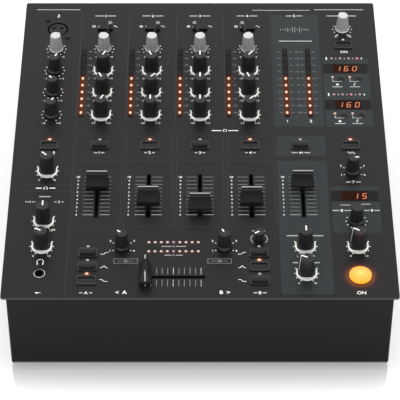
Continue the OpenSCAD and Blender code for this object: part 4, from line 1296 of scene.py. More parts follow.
@dataclass
class Faders:
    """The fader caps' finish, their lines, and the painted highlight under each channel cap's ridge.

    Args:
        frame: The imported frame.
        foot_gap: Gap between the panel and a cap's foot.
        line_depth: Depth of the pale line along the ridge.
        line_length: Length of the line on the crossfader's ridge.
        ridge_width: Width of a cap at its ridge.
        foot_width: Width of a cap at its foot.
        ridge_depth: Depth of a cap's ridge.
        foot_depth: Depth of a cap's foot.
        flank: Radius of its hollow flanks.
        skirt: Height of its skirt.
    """

    frame: PackedFrame
    foot_gap: float = 2.0
    line_depth: float = 1.1
    line_length: float = 4.2
    ridge_width: float = 17.2
    foot_width: float = 19.5
    ridge_depth: float = 3.0
    foot_depth: float = 10.6
    flank: float = 34.0
    skirt: float = 2.4

    def build(self) -> None:
        """Dresses every fader."""
        for node in [f"ch{c}_fader" for c in CHANNELS] + ["master_fader", "crossfader"]:
            self.frame.dress(node, CAP_ABS)
            low, high = self.frame.box(node)
            foot = self.frame.box("top_panel")[1].z + self.foot_gap
            place = Matrix.Translation(((low.x + high.x) / 2, (low.y + high.y) / 2, foot))
            line = Solid(node + "_line", RIDGE_LINE, node)
            across, along, up = self.ridge_width / 2, self.line_depth / 2, high.z - foot
            if node == "crossfader":
                start, span = across - self.line_length, (up - 0.05, 3.2)
                line.block((-along, start, up - 0.3), (along, across, up + 0.03), bevel=0.02)
                self.flank_strip(line, (self.ridge_width, up), self.foot_width, self.line_depth, span)
            else:
                line.block((-across, -along, up - 0.3), (across, along, up + 0.03), bevel=0.02)
                # A grey strip down the front flank just under the ridge: a painted highlight where its front
                # edge catches the light
                step = Solid(node + "_ridge_edge_highlight", RIDGE_EDGE_HIGHLIGHT, node)
                span = (up - 1.5, up - 2)
                self.flank_strip(step, (self.ridge_depth, up), self.foot_depth, self.ridge_width, span)
                step.place(step.bm.verts, place)
                step.piece()
            line.place(line.bm.verts, place)
            line.piece()

    def flank_strip(self, strip: Solid, ridge: Point, foot: float, width: float, span: Point) -> None:
        """Adds a thin strip down the front flank of a cap.

        Args:
            strip: Where it goes.
            ridge: Size of the ridge from front to rear, and its height over the foot.
            foot: Size of the foot from front to rear.
            width: Width of the strip.
            span: Heights of its top and its bottom.
        """
        p, q = Vector((ridge[0] / 2, ridge[1])), Vector((foot / 2, self.skirt))
        half = (q - p).length / 2
        along = (q - p) / (2 * half)
        centre = (p + q) / 2 + math.sqrt(self.flank**2 - half**2) * Vector((-along.y, along.x))
        steps, out, depth = 8, self.flank - 0.04, 0.1
        rows = []
        for i in range(steps + 1):
            z = span[0] + (span[1] - span[0]) * i / steps
            face = math.sqrt(out * out - (z - centre.y) ** 2) - centre.x
            ring = ((-1, face), (1, face), (1, face + depth), (-1, face + depth))
            rows.append([strip.bm.verts.new((side * width / 2, y, z)) for side, y in ring])
        for a, b in zip(rows, rows[1:]):
            for i, j in zip(range(4), (1, 2, 3, 0)):
                strip.bm.faces.new((a[i], a[j], b[j], b[i]))
        for end in (rows[0], rows[-1]):
            strip.bm.faces.new(end)


@dataclass
class TopPrint:
    """Everything that is printed on the top panel.

    Args:
        frame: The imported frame.
        letters: The numerals.
        tick: Width of a scale's line.
        dot: Radius of a scale's dot.
        tall_scale: Radius of the scale round a tall knob.
        low_scale: Radius of the scale round another knob.
        channel_half: Half the width of a channel's boxes.
    """

    frame: PackedFrame
    letters: Lettering = field(default_factory=Lettering)
    tick: float = 0.55
    dot: float = 0.55
    tall_scale: float = 9.5
    low_scale: float = 8.5
    channel_half: float = 20.0

    def __post_init__(self) -> None:
        """Opens a layer for each ink."""
        z = self.frame.box("top_panel")[1].z
        layer = partial(InkLayer, surface_z=z + 0.03, letters=self.letters)
        self.white = layer("panel_print_white", WHITE_INK)
        self.pale = layer("panel_print_pale", PALE_INK)
        self.grey = layer("panel_print_grey", GREY_INK)
        self.faint = layer("panel_print_faint", FAINT_INK, surface_z=z + 0.01)
        self.slate = InkLayer("panel_slate_sections", SLATE_ENAMEL, surface_z=z, thickness=0.01)
        self.marks = SymbolPress(self.white)

    def build(self) -> None:
        """Prints the panel."""
        self.sections()
        for knob in knobs():
            self.scale(knob)
        self.headers()
        self.meters()
        self.fader_scales()
        self.crossfader_scale()
        self.button_labels()
        self.effect_section()
        self.monitor_section()
        self.output_section()
        for layer in (self.slate, self.faint, self.grey, self.pale, self.white):
            layer.piece()

    def sections(self) -> None:
        """Lays the slate bands and the faint boxes."""
        master, effect = LAYOUT.column(LAYOUT.master_column), LAYOUT.column(LAYOUT.effect_column)
        meters = [((x - 2.3, 28.8), (x + 2.3, 120.8)) for x in LAYOUT.meters()[4:]]
        slot = ((master - 1.6, -94.5), (master + 1.6, -42.5))
        for low, high, holes in ((17, 168, meters), (-20, 5, ()), (-181, -26, [slot])):
            self.slate.sheet((master - 20.9, low), (master + 21.4, high), holes)
        for low, high in ((17, 108), (-112, -57)):
            self.slate.sheet((effect - 19.6, low), (effect + 20.9, high))
        for x in map(LAYOUT.column, CHANNELS):
            for low, high in ((-21, 5), (-105, -26)):
                self.faint.frame((x - self.channel_half, low), (x + self.channel_half, high), 0.4)
        for c in range(5):
            x = LAYOUT.column(c + 0.5)
            self.faint.line((x, 17), (x, 172), 0.4)
        self.faint.line((-108.5, -181), (-108.5, 5), 0.4)
        for y in (-55.5, -63.5):
            self.faint.line((-150, y), (-108.5, y), 0.5)

    def scale(self, knob: Knob) -> None:
        """Prints the scale round a rotary control.

        Args:
            knob: The control.
        """
        x, y = self.frame.pivot(knob.joint)
        if knob.kind is KnobKind.SMALL:
            for side, start in ((-1, 130), (1, -50)):
                self.pale.arc((x + side * 1.2, y), 5.6, start, start + 100, 0.6)
        elif knob.kind is KnobKind.SELECTOR:
            for number, turn in enumerate((-120, -60, 60, 120), start=1):
                self.white.line(around(x, y, 7.6, turn), around(x, y, 9.0, turn), 0.6)
                self.white.numerals(str(number), *around(x, y + 1.0, 11.2, turn), 2.2)
        else:
            radius = self.tall_scale if knob.kind is KnobKind.TALL else self.low_scale
            for turn in range(-150, 151, 30):
                self.white.dot(*around(x, y, radius, turn), self.dot)
            if knob.kind is KnobKind.TALL:
                self.crescent(x, y)
            self.pair(knob.ends, (x, y - 10.8), 6.6, 2.0, 0.0)

    def pair(self, words: Sequence[str], middle: Point, reach: float, height: float, weight: float) -> None:
        """Prints numerals to both sides of a middle.

        Args:
            words: The left and the right ones, either of which may be empty.
            middle: The middle.
            reach: How far they stand from it.
            height: Height of a numeral.
            weight: How much thicker the strokes get.
        """
        for side, word in zip(SIDES, words):
            if word:
                self.white.numerals(word, middle[0] + side * reach, middle[1], height, weight)

    def crescent(self, x: float, y: float) -> None:
        """Prints the white crescent in front of a tall knob.

        Args:
            x: The knob's middle.
            y: The knob's middle.
        """
        outer, thin, thick, up = 8.6, 1.25, 3.3, 0.2
        half = [(9.0, 5.9, 0.9), (8.0, 5.2, 0.9), (7.8, 3.5, 1.15), (7.95, 1.0, thin)]
        for turn in range(10, 90, 10):
            width = thin + thick * (turn / 90) ** 1.2
            reach, a = outer - width / 2, math.radians(turn)
            half.append((reach * math.cos(a), up - reach * math.sin(a), width))
        middle = [(0.0, up - (outer - 2.25), 4.5)]
        path = half + middle + [(-px, py, w) for px, py, w in reversed(half)]
        self.white.stroke([(x + px, y + py) for px, py, _ in path], [w for _, _, w in path])

    def rules(self, layer: InkLayer, x: float, y: float, inner: float, outer: float, width: float) -> None:
        """Prints a short line to both sides of a middle.

        Args:
            layer: The ink.
            x: The middle.
            y: The middle.
            inner: Where each starts, from the middle.
            outer: Where it ends.
            width: Its width.
        """
        for side in SIDES:
            layer.line((x + side * inner, y), (x + side * outer, y), width)

    def ruled(
        self, words: str, x: float, y: float, height: float, width: float, ink: InkLayer | None = None
    ) -> None:
        """Prints numerals between two short rules.

        Args:
            words: The numerals, or nothing for one whole rule.
            x: The middle.
            y: The middle.
            height: Height of a numeral.
            width: Width over all.
            ink: The numerals' ink, white by default.
        """
        gap = (ink or self.white).numerals(words, x, y, height) / 2 + 1.1 if words else 0.0
        self.rules(self.pale, x, y, gap, width / 2, height * 0.38)

    def headers(self) -> None:
        """Prints the numbers over the columns and the symbols of the inputs."""
        row, inputs = LAYOUT.header_row, LAYOUT.input_row
        for c in CHANNELS:
            x = LAYOUT.column(c)
            self.ruled(str(c), x, row, 3.2, 19.0)
            self.marks.press(Symbol.RECORD, x - 10.4, inputs, 3.0)
            self.pale.line((x - 6.6, inputs - 1.2), (x - 5.4, inputs + 1.2), 0.5)
            self.marks.press(Symbol.LINE, x + 9.4, inputs, 2.6)
        self.marks.press(Symbol.MICROPHONE, LAYOUT.column(0), row, 4.2)
        for c, width in ((5, 15.0), (6, 27.0)):
            self.ruled(str(c), LAYOUT.column(c), row, 3.2, width)
        lines = ((-150, -110, 175.4, 0.9), (48, 101, 174.6, 0.7), (105, 150, 175.4, 0.9))
        for left, right, y, width in lines:
            self.pale.line((left, y), (right, y), width)

    def meters(self) -> None:
        """Prints the level scales."""
        master = LAYOUT.column(LAYOUT.master_column)
        levels = ("-24", "-18", "-12", "-6", "-3", "0", "+2", "+4", "+6", "+9")
        for words, y in zip(levels, LAYOUT.meter_rows()):
            for c in CHANNELS:
                self.grey.numerals(words, LAYOUT.column(c) - 12.3, y, 2.1)
            self.grey.numerals(words, master + 0.6, y, 2.1)
            for inner, outer in ((3.6, 6.4), (14.0, 17.2)):
                self.rules(self.grey, master, y, inner, outer, 0.5)
        for number, x in zip("12", LAYOUT.meters()[4:]):
            self.white.numerals(number, x, 24, 3.2)

    def fader_scales(self) -> None:
        """Prints the lines and numbers beside the faders."""
        for c in (*CHANNELS, LAYOUT.master_column):
            x = LAYOUT.column(c)
            for i in range(11):
                y = LAYOUT.fader_middle + LAYOUT.fader_travel * (0.5 - i / 10)
                self.rules(self.pale if i == 10 else self.grey, x, y, 2.8, 11.4, self.tick)
                self.white.numerals(str(10 - i), x - 16.5, y, 2.0 if i else 2.4)

    def crossfader_scale(self) -> None:
        """Prints the ticks and arrows of the crossfader."""
        x, y = LAYOUT.crossfader
        for i in range(11):
            tick = x + LAYOUT.fader_travel * (i / 10 - 0.5)
            ink = self.pale if i in (0, 5, 10) else self.grey
            for side in SIDES:
                ink.line((tick, y + side * 3.0), (tick, y + side * 10.4), self.tick)
        for symbol, arrow, word, at in ((Symbol.LEFT, -66.5, "A", -60.6), (Symbol.RIGHT, 22.8, "B", 17.2)):
            self.marks.press(symbol, arrow, -178.8, 3.4)
            self.white.numerals(word, at, -178.8, 3.6, 0.03)

    def button_labels(self) -> None:
        """Prints what the cue and band buttons do."""
        y = LAYOUT.label_row
        for c in CHANNELS:
            self.ruled(str(c), LAYOUT.column(c), y, 3.1, 9.0)
        master = LAYOUT.column(LAYOUT.master_column)
        self.marks.press(Symbol.SPEAKER, master, y, 3.0)
        for side in SIDES:
            self.ruled("", master + side * 5.5, y, 3.0, 5.0)
        self.marks.press(Symbol.WAVE, LAYOUT.column(LAYOUT.effect_column), y, 2.4)
        self.marks.press(Symbol.MICROPHONE, LAYOUT.column(LAYOUT.mic_column) + 4.4, y, 3.2)
        cue = LAYOUT.column(LAYOUT.cue_column)
        self.marks.press(Symbol.HEADPHONES, cue, 12.0, 3.2)
        self.rules(self.white, cue, 11.8, 3.0, 11.5, 1.0)
        for band, row in zip((Symbol.HIGH_SHELF, Symbol.BELL, Symbol.LOW_SHELF), LAYOUT.band_rows):
            for x in (-78.0, 34.2):
                self.marks.press(band, x, row, 2.8)
        for words, x in zip("AB", LAYOUT.kill_columns):
            self.ruled(words, x, LAYOUT.foot_row, 3.2, 10.5)

    def effect_section(self) -> None:
        """Prints the effect column."""
        x = LAYOUT.column(LAYOUT.effect_column)
        self.pair(("0", "10"), (x, 138.6), 5.6, 2.4, 0.015)
        self.white.numerals("ON", x, 116.0, 3.0)
        for y in LAYOUT.beat_rows:
            ticks = [(self.white, x - 16.2, 1.9, 1.1), (self.white, x + 15.3, 1.3, 0.7)]
            between = [LAYOUT.beat_first + LAYOUT.beat_pitch * (i + 0.5) for i in range(3)]
            for ink, tick, reach, width in ticks + [(self.pale, tick, 1.0, 0.7) for tick in between]:
                ink.line((tick, y - reach), (tick, y + reach), width)
        for y in LAYOUT.tempo_rows:
            for across, symbol in zip(LAYOUT.tempo_columns, (Symbol.LOCK, Symbol.NOTE)):
                left, right, middle, base = (x + across, x + across + 7.8, x + across + 3.9, y - 5.6)
                self.pale.stroke([(left, y - 2.2), (left, base), (right, base), (right, y - 3.6)], 0.6)
                self.marks.press(symbol, middle, y - 9.2, 3.2)
                self.ruled("", middle, y - 12.8, 2.4, 9.0)
        numbers = (("7", 0.0, -52.0, 12.5), ("8", -11.4, -86.0, 15.5), ("9", 13.6, -86.0, 13.0))
        for words, across, y, width in numbers:
            self.ruled(words, x + across, y, 3.0, width)
        for left, right, y in ((-12.2, -3.6, -79.6), (5.0, 13.0, -78.6)):
            self.pale.line((x + left, y), (x + right, y), 0.8)
        self.white.numerals("ON", x, LAYOUT.foot_row, 3.4)

    def monitor_section(self) -> None:
        """Prints the headphone and talkover column."""
        x = LAYOUT.column(LAYOUT.mic_column) - 0.4
        self.marks.press(Symbol.HEADPHONES, x, -59.4, 3.4)
        self.rules(self.white, x, -59.4, 3.2, 8.2, 1.1)
        self.ruled("", x, -69.6, 2.8, 9.6)
        for side, words in zip(SIDES, "12"):
            self.ruled(words, x + side * 12.0, -75.8, 2.4, 8.4)
        self.marks.press(Symbol.SPEAKER, x + 8.6, -108.6, 2.8)
        self.marks.press(Symbol.HEADPHONES, x, -145.2, 6.2)
        self.white.arc((x, -158.0), 4.45, 0, 360, 0.4)
        self.marks.press(Symbol.JACK, x, LAYOUT.foot_row, 2.8)

    def output_section(self) -> None:
        """Prints the master column, the counter and the small marks round the crossfader."""
        x, middle = LAYOUT.column(LAYOUT.master_column), LAYOUT.crossfader[0]
        self.waveform(x, 147.0)
        for side in SIDES:
            self.ruled("", x + side * 10.6, -115.4, 3.0, 9.0)
            self.ruled("", x + side * 8.8, -146.0, 3.0, 4.4)
        self.ruled("", x, 131.0, 3.0, 30.0)
        self.ruled("", 48.4, -109.8, 2.4, 11.0)
        for y, width in ((-127.6, 20.0), (-137.6, 15.0)):
            self.ruled("0", middle, y, 2.0, width, self.pale)
        for left in (-60.5, 16.0):
            self.grey.frame((left - 9.6, -146.6), (left + 9.6, -141.6), 0.5)
            self.grey.line((left - 6.5, -144.1), (left + 6.5, -144.1), 0.5)
            self.grey.bar((left - 1.4, -145.5), (left + 1.4, -142.7))

    def waveform(self, x: float, y: float) -> None:
        """Prints a row of upright bars like a sound wave.

        Args:
            x: Its middle.
            y: Its middle.
        """
        count = 13
        for i in range(count):
            t = (i - (count - 1) / 2) / (count / 2)
            reach = 9.0 * math.exp(-2.2 * t * t) * (0.55 + 0.45 * math.cos(i * 2.3)) + 1.2
            self.grey.line((x + t * 14, y - reach / 2), (x + t * 14, y + reach / 2), 0.8)


class LampState(Enum):
    """How a lamp shines."""

    ORANGE = ("orange", 1.0)
    PINK = ("pink", 0.5)
    DIM_RED = ("dim_red", 0.45)
    BRIGHT_RED = ("bright_red", 0.7)

    def __init__(self, label: str, strength: float) -> None:
        """Keeps the word in the piece's name and the strength of the light that a lamp throws."""
        self.label = label
        self.strength = strength


@dataclass(frozen=True)
class Lamp:
    """A round lamp.

    Args:
        x: Its middle.
        y: Its middle.
        state: How it shines.
    """

    x: float
    y: float
    state: LampState

    def on_slate(self) -> bool:
        """Tells whether the lamp stands on the slate part of the effect section."""
        return self.x > 110 and 17 < self.y < 108


def lamps() -> list[Lamp]:
    """Returns every lamp that isn't off."""
    cue_y = LAYOUT.cue_row + LAYOUT.lamp_offset
    made = [Lamp(LAYOUT.column(c), cue_y, LampState.ORANGE) for c in (0, 2, 4, 6)]
    made += [Lamp(x, y, LampState.ORANGE) for x, y in zip(LAYOUT.kill_columns, (-158.5, -143.1))]
    effect = LAYOUT.column(LAYOUT.effect_column)
    made.append(Lamp(effect, 132.7, LampState.PINK))
    made += [Lamp(effect + x, y, LampState.PINK) for y in LAYOUT.tempo_rows for x in LAYOUT.tempo_columns]
    for y, bright in zip(LAYOUT.beat_rows, (3, 2)):
        for i in range(4):
            state = LampState.BRIGHT_RED if i == bright else LampState.DIM_RED
            made.append(Lamp(LAYOUT.beat_first + LAYOUT.beat_pitch * i, y, state))
    for y in LAYOUT.counter_rows:
        for i in range(-4, 5):
            state = LampState.DIM_RED if i == 0 else LampState.PINK
            made.append(Lamp(LAYOUT.crossfader[0] + i * LAYOUT.counter_pitch, y, state))
    return made


@dataclass
class GlowPlate(Solid):
    """A thin plate of the panel's own enamel that holds the light that falls on it.

    Args:
        surface_z: Height of the panel.
        thickness: Thickness of the plate.
        step: Size of its grid.
    """

    surface_z: float = 0.0
    thickness: float = 0.015
    step: float = 0.6

    def disc_plate(self, x: float, y: float, radius: float) -> None:
        """Adds a round plate with rings for its light to fade over.

        Args:
            x: Its middle.
            y: Its middle.
            radius: Its radius.
        """
        rings = max(4, int(radius / self.step))
        made = bmesh.ops.create_circle(self.bm, cap_ends=True, segments=28, radius=radius)["verts"]
        inside = [made[0].link_faces[0]]
        for _ in range(rings - 1):
            bmesh.ops.inset_individual(self.bm, faces=inside, thickness=radius / rings)
        self.place(self.island(made[0]), Matrix.Translation((x, y, self.surface_z + self.thickness)))

    def strip(self, low: Point, high: Point) -> None:
        """Adds a rectangular plate with a fine grid.

        Args:
            low: Its lower left corner.
            high: Its upper right corner.
        """
        across, along = high[0] - low[0], high[1] - low[1]
        cells = {"x_segments": max(2, int(across / self.step)), "y_segments": max(2, int(along / self.step))}
        made = bmesh.ops.create_grid(self.bm, size=0.5, **cells)["verts"]
        middle = (low[0] + across / 2, low[1] + along / 2, self.surface_z + self.thickness)
        self.place(made, Matrix.Translation(middle) @ Matrix.Diagonal((across, along, 1.0, 1.0)))

    def shine(self, light: Callable[[float, float], float]) -> None:
        """Writes the light at each vertex.

        Args:
            light: The light at a place, from 0 to 1.
        """
        layer = self.bm.verts.layers.float.new(GLOW)
        for v in self.bm.verts:
            v[layer] = max(0.0, min(1.0, light(v.co.x, v.co.y)))


@dataclass
class Lights:
    """Lamps, meters and displays that shine.

    Args:
        frame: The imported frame.
        lamp_radius: Radius of a lamp's dome.
        lamp_height: Height of a lamp's dome.
        halo_radius: How far an orange lamp's light reaches.
        small_halo_radius: How far another lamp's light reaches.
        segment: Width and height of a lit segment.
        unlit: Half the width and the height of an unlit one.
        lit_segments: How many are lit.
        window: Half the width of a meter's window.
        spill: How far a meter's light reaches beside its window.
        digit_size: Half the width and the height of a digit.
        digit_stroke: Width of its segments.
        digit_slant: How far it leans for each millimetre of height.
    """

    frame: PackedFrame
    lamp_radius: float = 1.36
    lamp_height: float = 0.78
    halo_radius: float = 5.4
    small_halo_radius: float = 2.5
    segment: Point = (1.95, 2.8)
    unlit: Point = (1.7, 3.9)
    lit_segments: int = 6
    window: float = 2.3
    spill: float = 4.2
    digit_size: Point = (1.6, 3.0)
    digit_stroke: float = 0.62
    digit_slant: float = 0.18

    def build(self) -> None:
        """Dresses the lamps and windows and adds their light."""
        self.z = self.frame.box("top_panel")[1].z
        self.frame.dress("lamps", CLEAR_LAMP)
        self.frame.dress("display_windows", METER_GLASS)
        self.domes()
        self.halos()
        self.meters()
        self.displays()

    def domes(self) -> None:
        """Adds the lit domes, one piece for each colour."""
        for state, finish in zip(LampState, (LIT_ORANGE, LIT_PINK, DIM_RED, BRIGHT_RED)):
            layer = Solid(f"lamps_{state.label}", finish)
            for lamp in lamps():
                if lamp.state is state:
                    layer.dome((lamp.x, lamp.y, self.z + 0.02), self.lamp_radius, self.lamp_height)
            layer.piece(smooth=True)

    def halo(self, lamp: Lamp) -> float:
        """Returns how far a lamp's light reaches."""
        return self.halo_radius if lamp.state is LampState.ORANGE else self.small_halo_radius

    def halos(self) -> None:
        """Adds the light that the round lamps throw on the panel."""
        plates = (("lamp_glow_panel", PANEL_ENAMEL, False), ("lamp_glow_slate", SLATE_ENAMEL, True))
        for name, finish, slate in plates:
            chosen = [lamp for lamp in lamps() if lamp.on_slate() == slate]
            plate = GlowPlate(name, replace(finish, glow=True), surface_z=self.z)
            for lamp in chosen:
                plate.disc_plate(lamp.x, lamp.y, self.halo(lamp))
            plate.shine(lambda x, y: max(self.thrown(lamp, x, y) for lamp in chosen))
            plate.piece()

    def thrown(self, lamp: Lamp, x: float, y: float) -> float:
        """Tells how much of one lamp's light falls on a place on the panel.

        Args:
            lamp: The lamp.
            x: The place.
            y: The place.

        Returns:
            The light, from 0 to 1.
        """
        reach = 2.3 if lamp.state is LampState.ORANGE else 0.8
        away = math.hypot(x - lamp.x, y - lamp.y)
        rest = max(0.0, 1 - (away / self.halo(lamp)) ** 2)
        return lamp.state.strength * math.exp(-max(0.0, away - self.lamp_radius) / reach) * rest

    def meters(self) -> None:
        """Adds the lit segments and their light."""
        every = LAYOUT.meter_rows()
        rows = every[: self.lit_segments]
        lit = Solid("meter_segments_lit", LIT_SEGMENT)
        unlit = Solid("meter_segments_unlit", UNLIT_SEGMENT)
        (w, h), (dark_w, dark_h) = self.segment, self.unlit
        low, high = self.z + 0.02, self.z + 0.08
        for x in LAYOUT.meters():
            for y in rows:
                lit.block((x - w / 2, y - h / 2, low), (x + w / 2, y + h / 2, high), bevel=0.03)
            for y in every[self.lit_segments :]:
                unlit.block((x - dark_w, y - dark_h, low), (x + dark_w, y + dark_h, self.z + 0.05))
        lit.piece()
        unlit.piece()
        for number, x in enumerate(LAYOUT.meters(), start=1):
            base = replace(METER_GLASS, glow=True)
            glass = GlowPlate(f"meter_{number}_light", base, surface_z=self.z, step=0.45)
            glass.strip((x - self.window, rows[0] - 6.0), (x + self.window, rows[-1] + 11))
            glass.shine(lambda vx, vy, x=x: self.behind_glass(vx - x, vy, rows))
            glass.piece()
            base = replace(SLATE_ENAMEL if number > 4 else PANEL_ENAMEL, glow=True)
            spill = GlowPlate(f"meter_{number}_spill", base, surface_z=self.z + 0.002)
            for side in SIDES:
                xs = sorted(x + side * (self.window + reach) for reach in (0.02, self.spill))
                spill.strip((xs[0], rows[0] - 7), (xs[1], rows[-1] + 9))
            spill.shine(lambda vx, vy, x=x: self.beside_glass(abs(vx - x) - self.window, vy, rows))
            spill.piece()

    def behind_glass(self, x: float, y: float, rows: Sequence[float]) -> float:
        """Tells how bright a meter's window is.

        Args:
            x: Distance from the window's middle line.
            y: Place along the window.
            rows: Places of the lit lamps.

        Returns:
            The light, from 0 to 1.
        """
        near = min(math.hypot(x / 1.1, (y - row) / 1.5) for row in rows)
        past = max(0.0, (y - rows[-1] - 3) / 2.2, (rows[0] - 3 - y) / 1.6)
        share = min(1.0, abs(x) / self.window) ** 2
        return math.exp(-past) * (0.57 - 0.19 * share + 0.32 * math.exp(-max(0.0, near - 0.8) * 1.8))

    def beside_glass(self, away: float, y: float, rows: Sequence[float]) -> float:
        """Tells how much of a meter's light falls on the panel beside it.

        Args:
            away: Distance from the window's edge.
            y: Place along the window.
            rows: Places of the lit lamps.

        Returns:
            The light, from 0 to 1.
        """
        ends = max(0.0, rows[0] - 1 - y, y - rows[-1] - 1)
        fade = math.exp(-away / 1.6) * (1 - away / self.spill)
        return 0.42 * fade * math.exp(-ends / 3.0) * (1 - min(1, ends / 8))

    def displays(self) -> None:
        """Adds the red filters and the lit digits."""
        x = LAYOUT.column(LAYOUT.effect_column) + 0.2
        pane = Solid("display_panes", DISPLAY_GLASS)
        red = Solid("display_filters", DISPLAY_RED)
        digits = Solid("display_digits", LIT_DIGIT)
        for y, words in zip(LAYOUT.display_rows, ("160", "160", " 15")):
            pane.block((x - 19.8, y - 6.5, self.z + 0.01), (x + 20.2, y + 6.5, self.z + 0.05))
            red.block((x - 11.2, y - 5.6, self.z + 0.05), (x + 11.2, y + 5.6, self.z + 0.09))
            for i, digit in enumerate(words):
                self.digit(digits, digit, x - 6.6 + 7.4 * i, y - 0.2)
        for layer in (pane, red, digits):
            layer.piece()

    def digit(self, layer: Solid, digit: str, x: float, y: float) -> None:
        """Adds one digit of seven slanted segments.

        Args:
            layer: Where it goes.
            digit: The digit, or a space.
            x: Its middle.
            y: Its middle.
        """
        w, h = self.digit_size
        half = self.digit_stroke / 2
        # Each segment's two ends, in halves of the digit's width and height
        ends = {
            "a": (-1, 1, 1, 1),
            "b": (1, 1, 1, 0),
            "c": (1, 0, 1, -1),
            "d": (-1, -1, 1, -1),
            "e": (-1, 0, -1, -1),
            "f": (-1, 1, -1, 0),
            "g": (-1, 0, 1, 0),
        }
        lean = Matrix(((1, self.digit_slant, 0, 0), (0, 1, 0, 0), (0, 0, 1, 0), (0, 0, 0, 1)))
        place = Matrix.Translation((x, y, self.z + 0.09)) @ lean
        for name in {"0": "abcdef", "1": "bc", "5": "acdfg", "6": "acdefg", " ": ""}[digit]:
            start, end = Vector(ends[name][:2]), Vector(ends[name][2:])
            start, end = (Vector((v.x * w, v.y * h)) for v in (start, end))
            reach = ((end - start).length - 0.35) / 2
            turn = Matrix.Rotation(math.atan2(end.y - start.y, end.x - start.x), 4, "Z")
            middle = Matrix.Translation(((start + end) / 2).to_3d())
            layer.block((-reach, -half, 0), (reach, half, 0.04), turn=place @ middle @ turn)


@dataclass
class EffectSwitch:
    """The round lit switch and the light round it.

    Args:
        frame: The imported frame.
        radius: Radius of its crown.
        wall: Height of its side.
        halo: Radius of the light on the panel.
    """

    frame: PackedFrame
    radius: float = 9.6
    wall: float = 7.0
    halo: float = 18.5

    def build(self) -> None:
        """Dresses the switch and lays its light on the panel."""
        low, high = self.frame.box("effect_on_button")
        x, y = (low.x + high.x) / 2, (low.y + high.y) / 2
        crown = CrownLight("lit_effect_switch", (x, y, high.z), self.radius, self.wall)
        self.frame.dress("effect_on_button", crown)
        z = self.frame.box("top_panel")[1].z
        plate = GlowPlate("effect_switch_glow", replace(PANEL_ENAMEL, glow=True), surface_z=z, step=0.8)
        plate.disc_plate(x, y, self.halo)
        plate.shine(lambda px, py: self.thrown(math.hypot(px - x, py - y)))
        plate.piece()

    def thrown(self, away: float) -> float:
        """Returns the light on the panel at a distance from the middle of the switch."""
        fade = math.exp(-max(0.0, away - self.radius - 1) / 4.6)
        return 0.92 * fade * (1 - min(1.0, away / self.halo) ** 3)


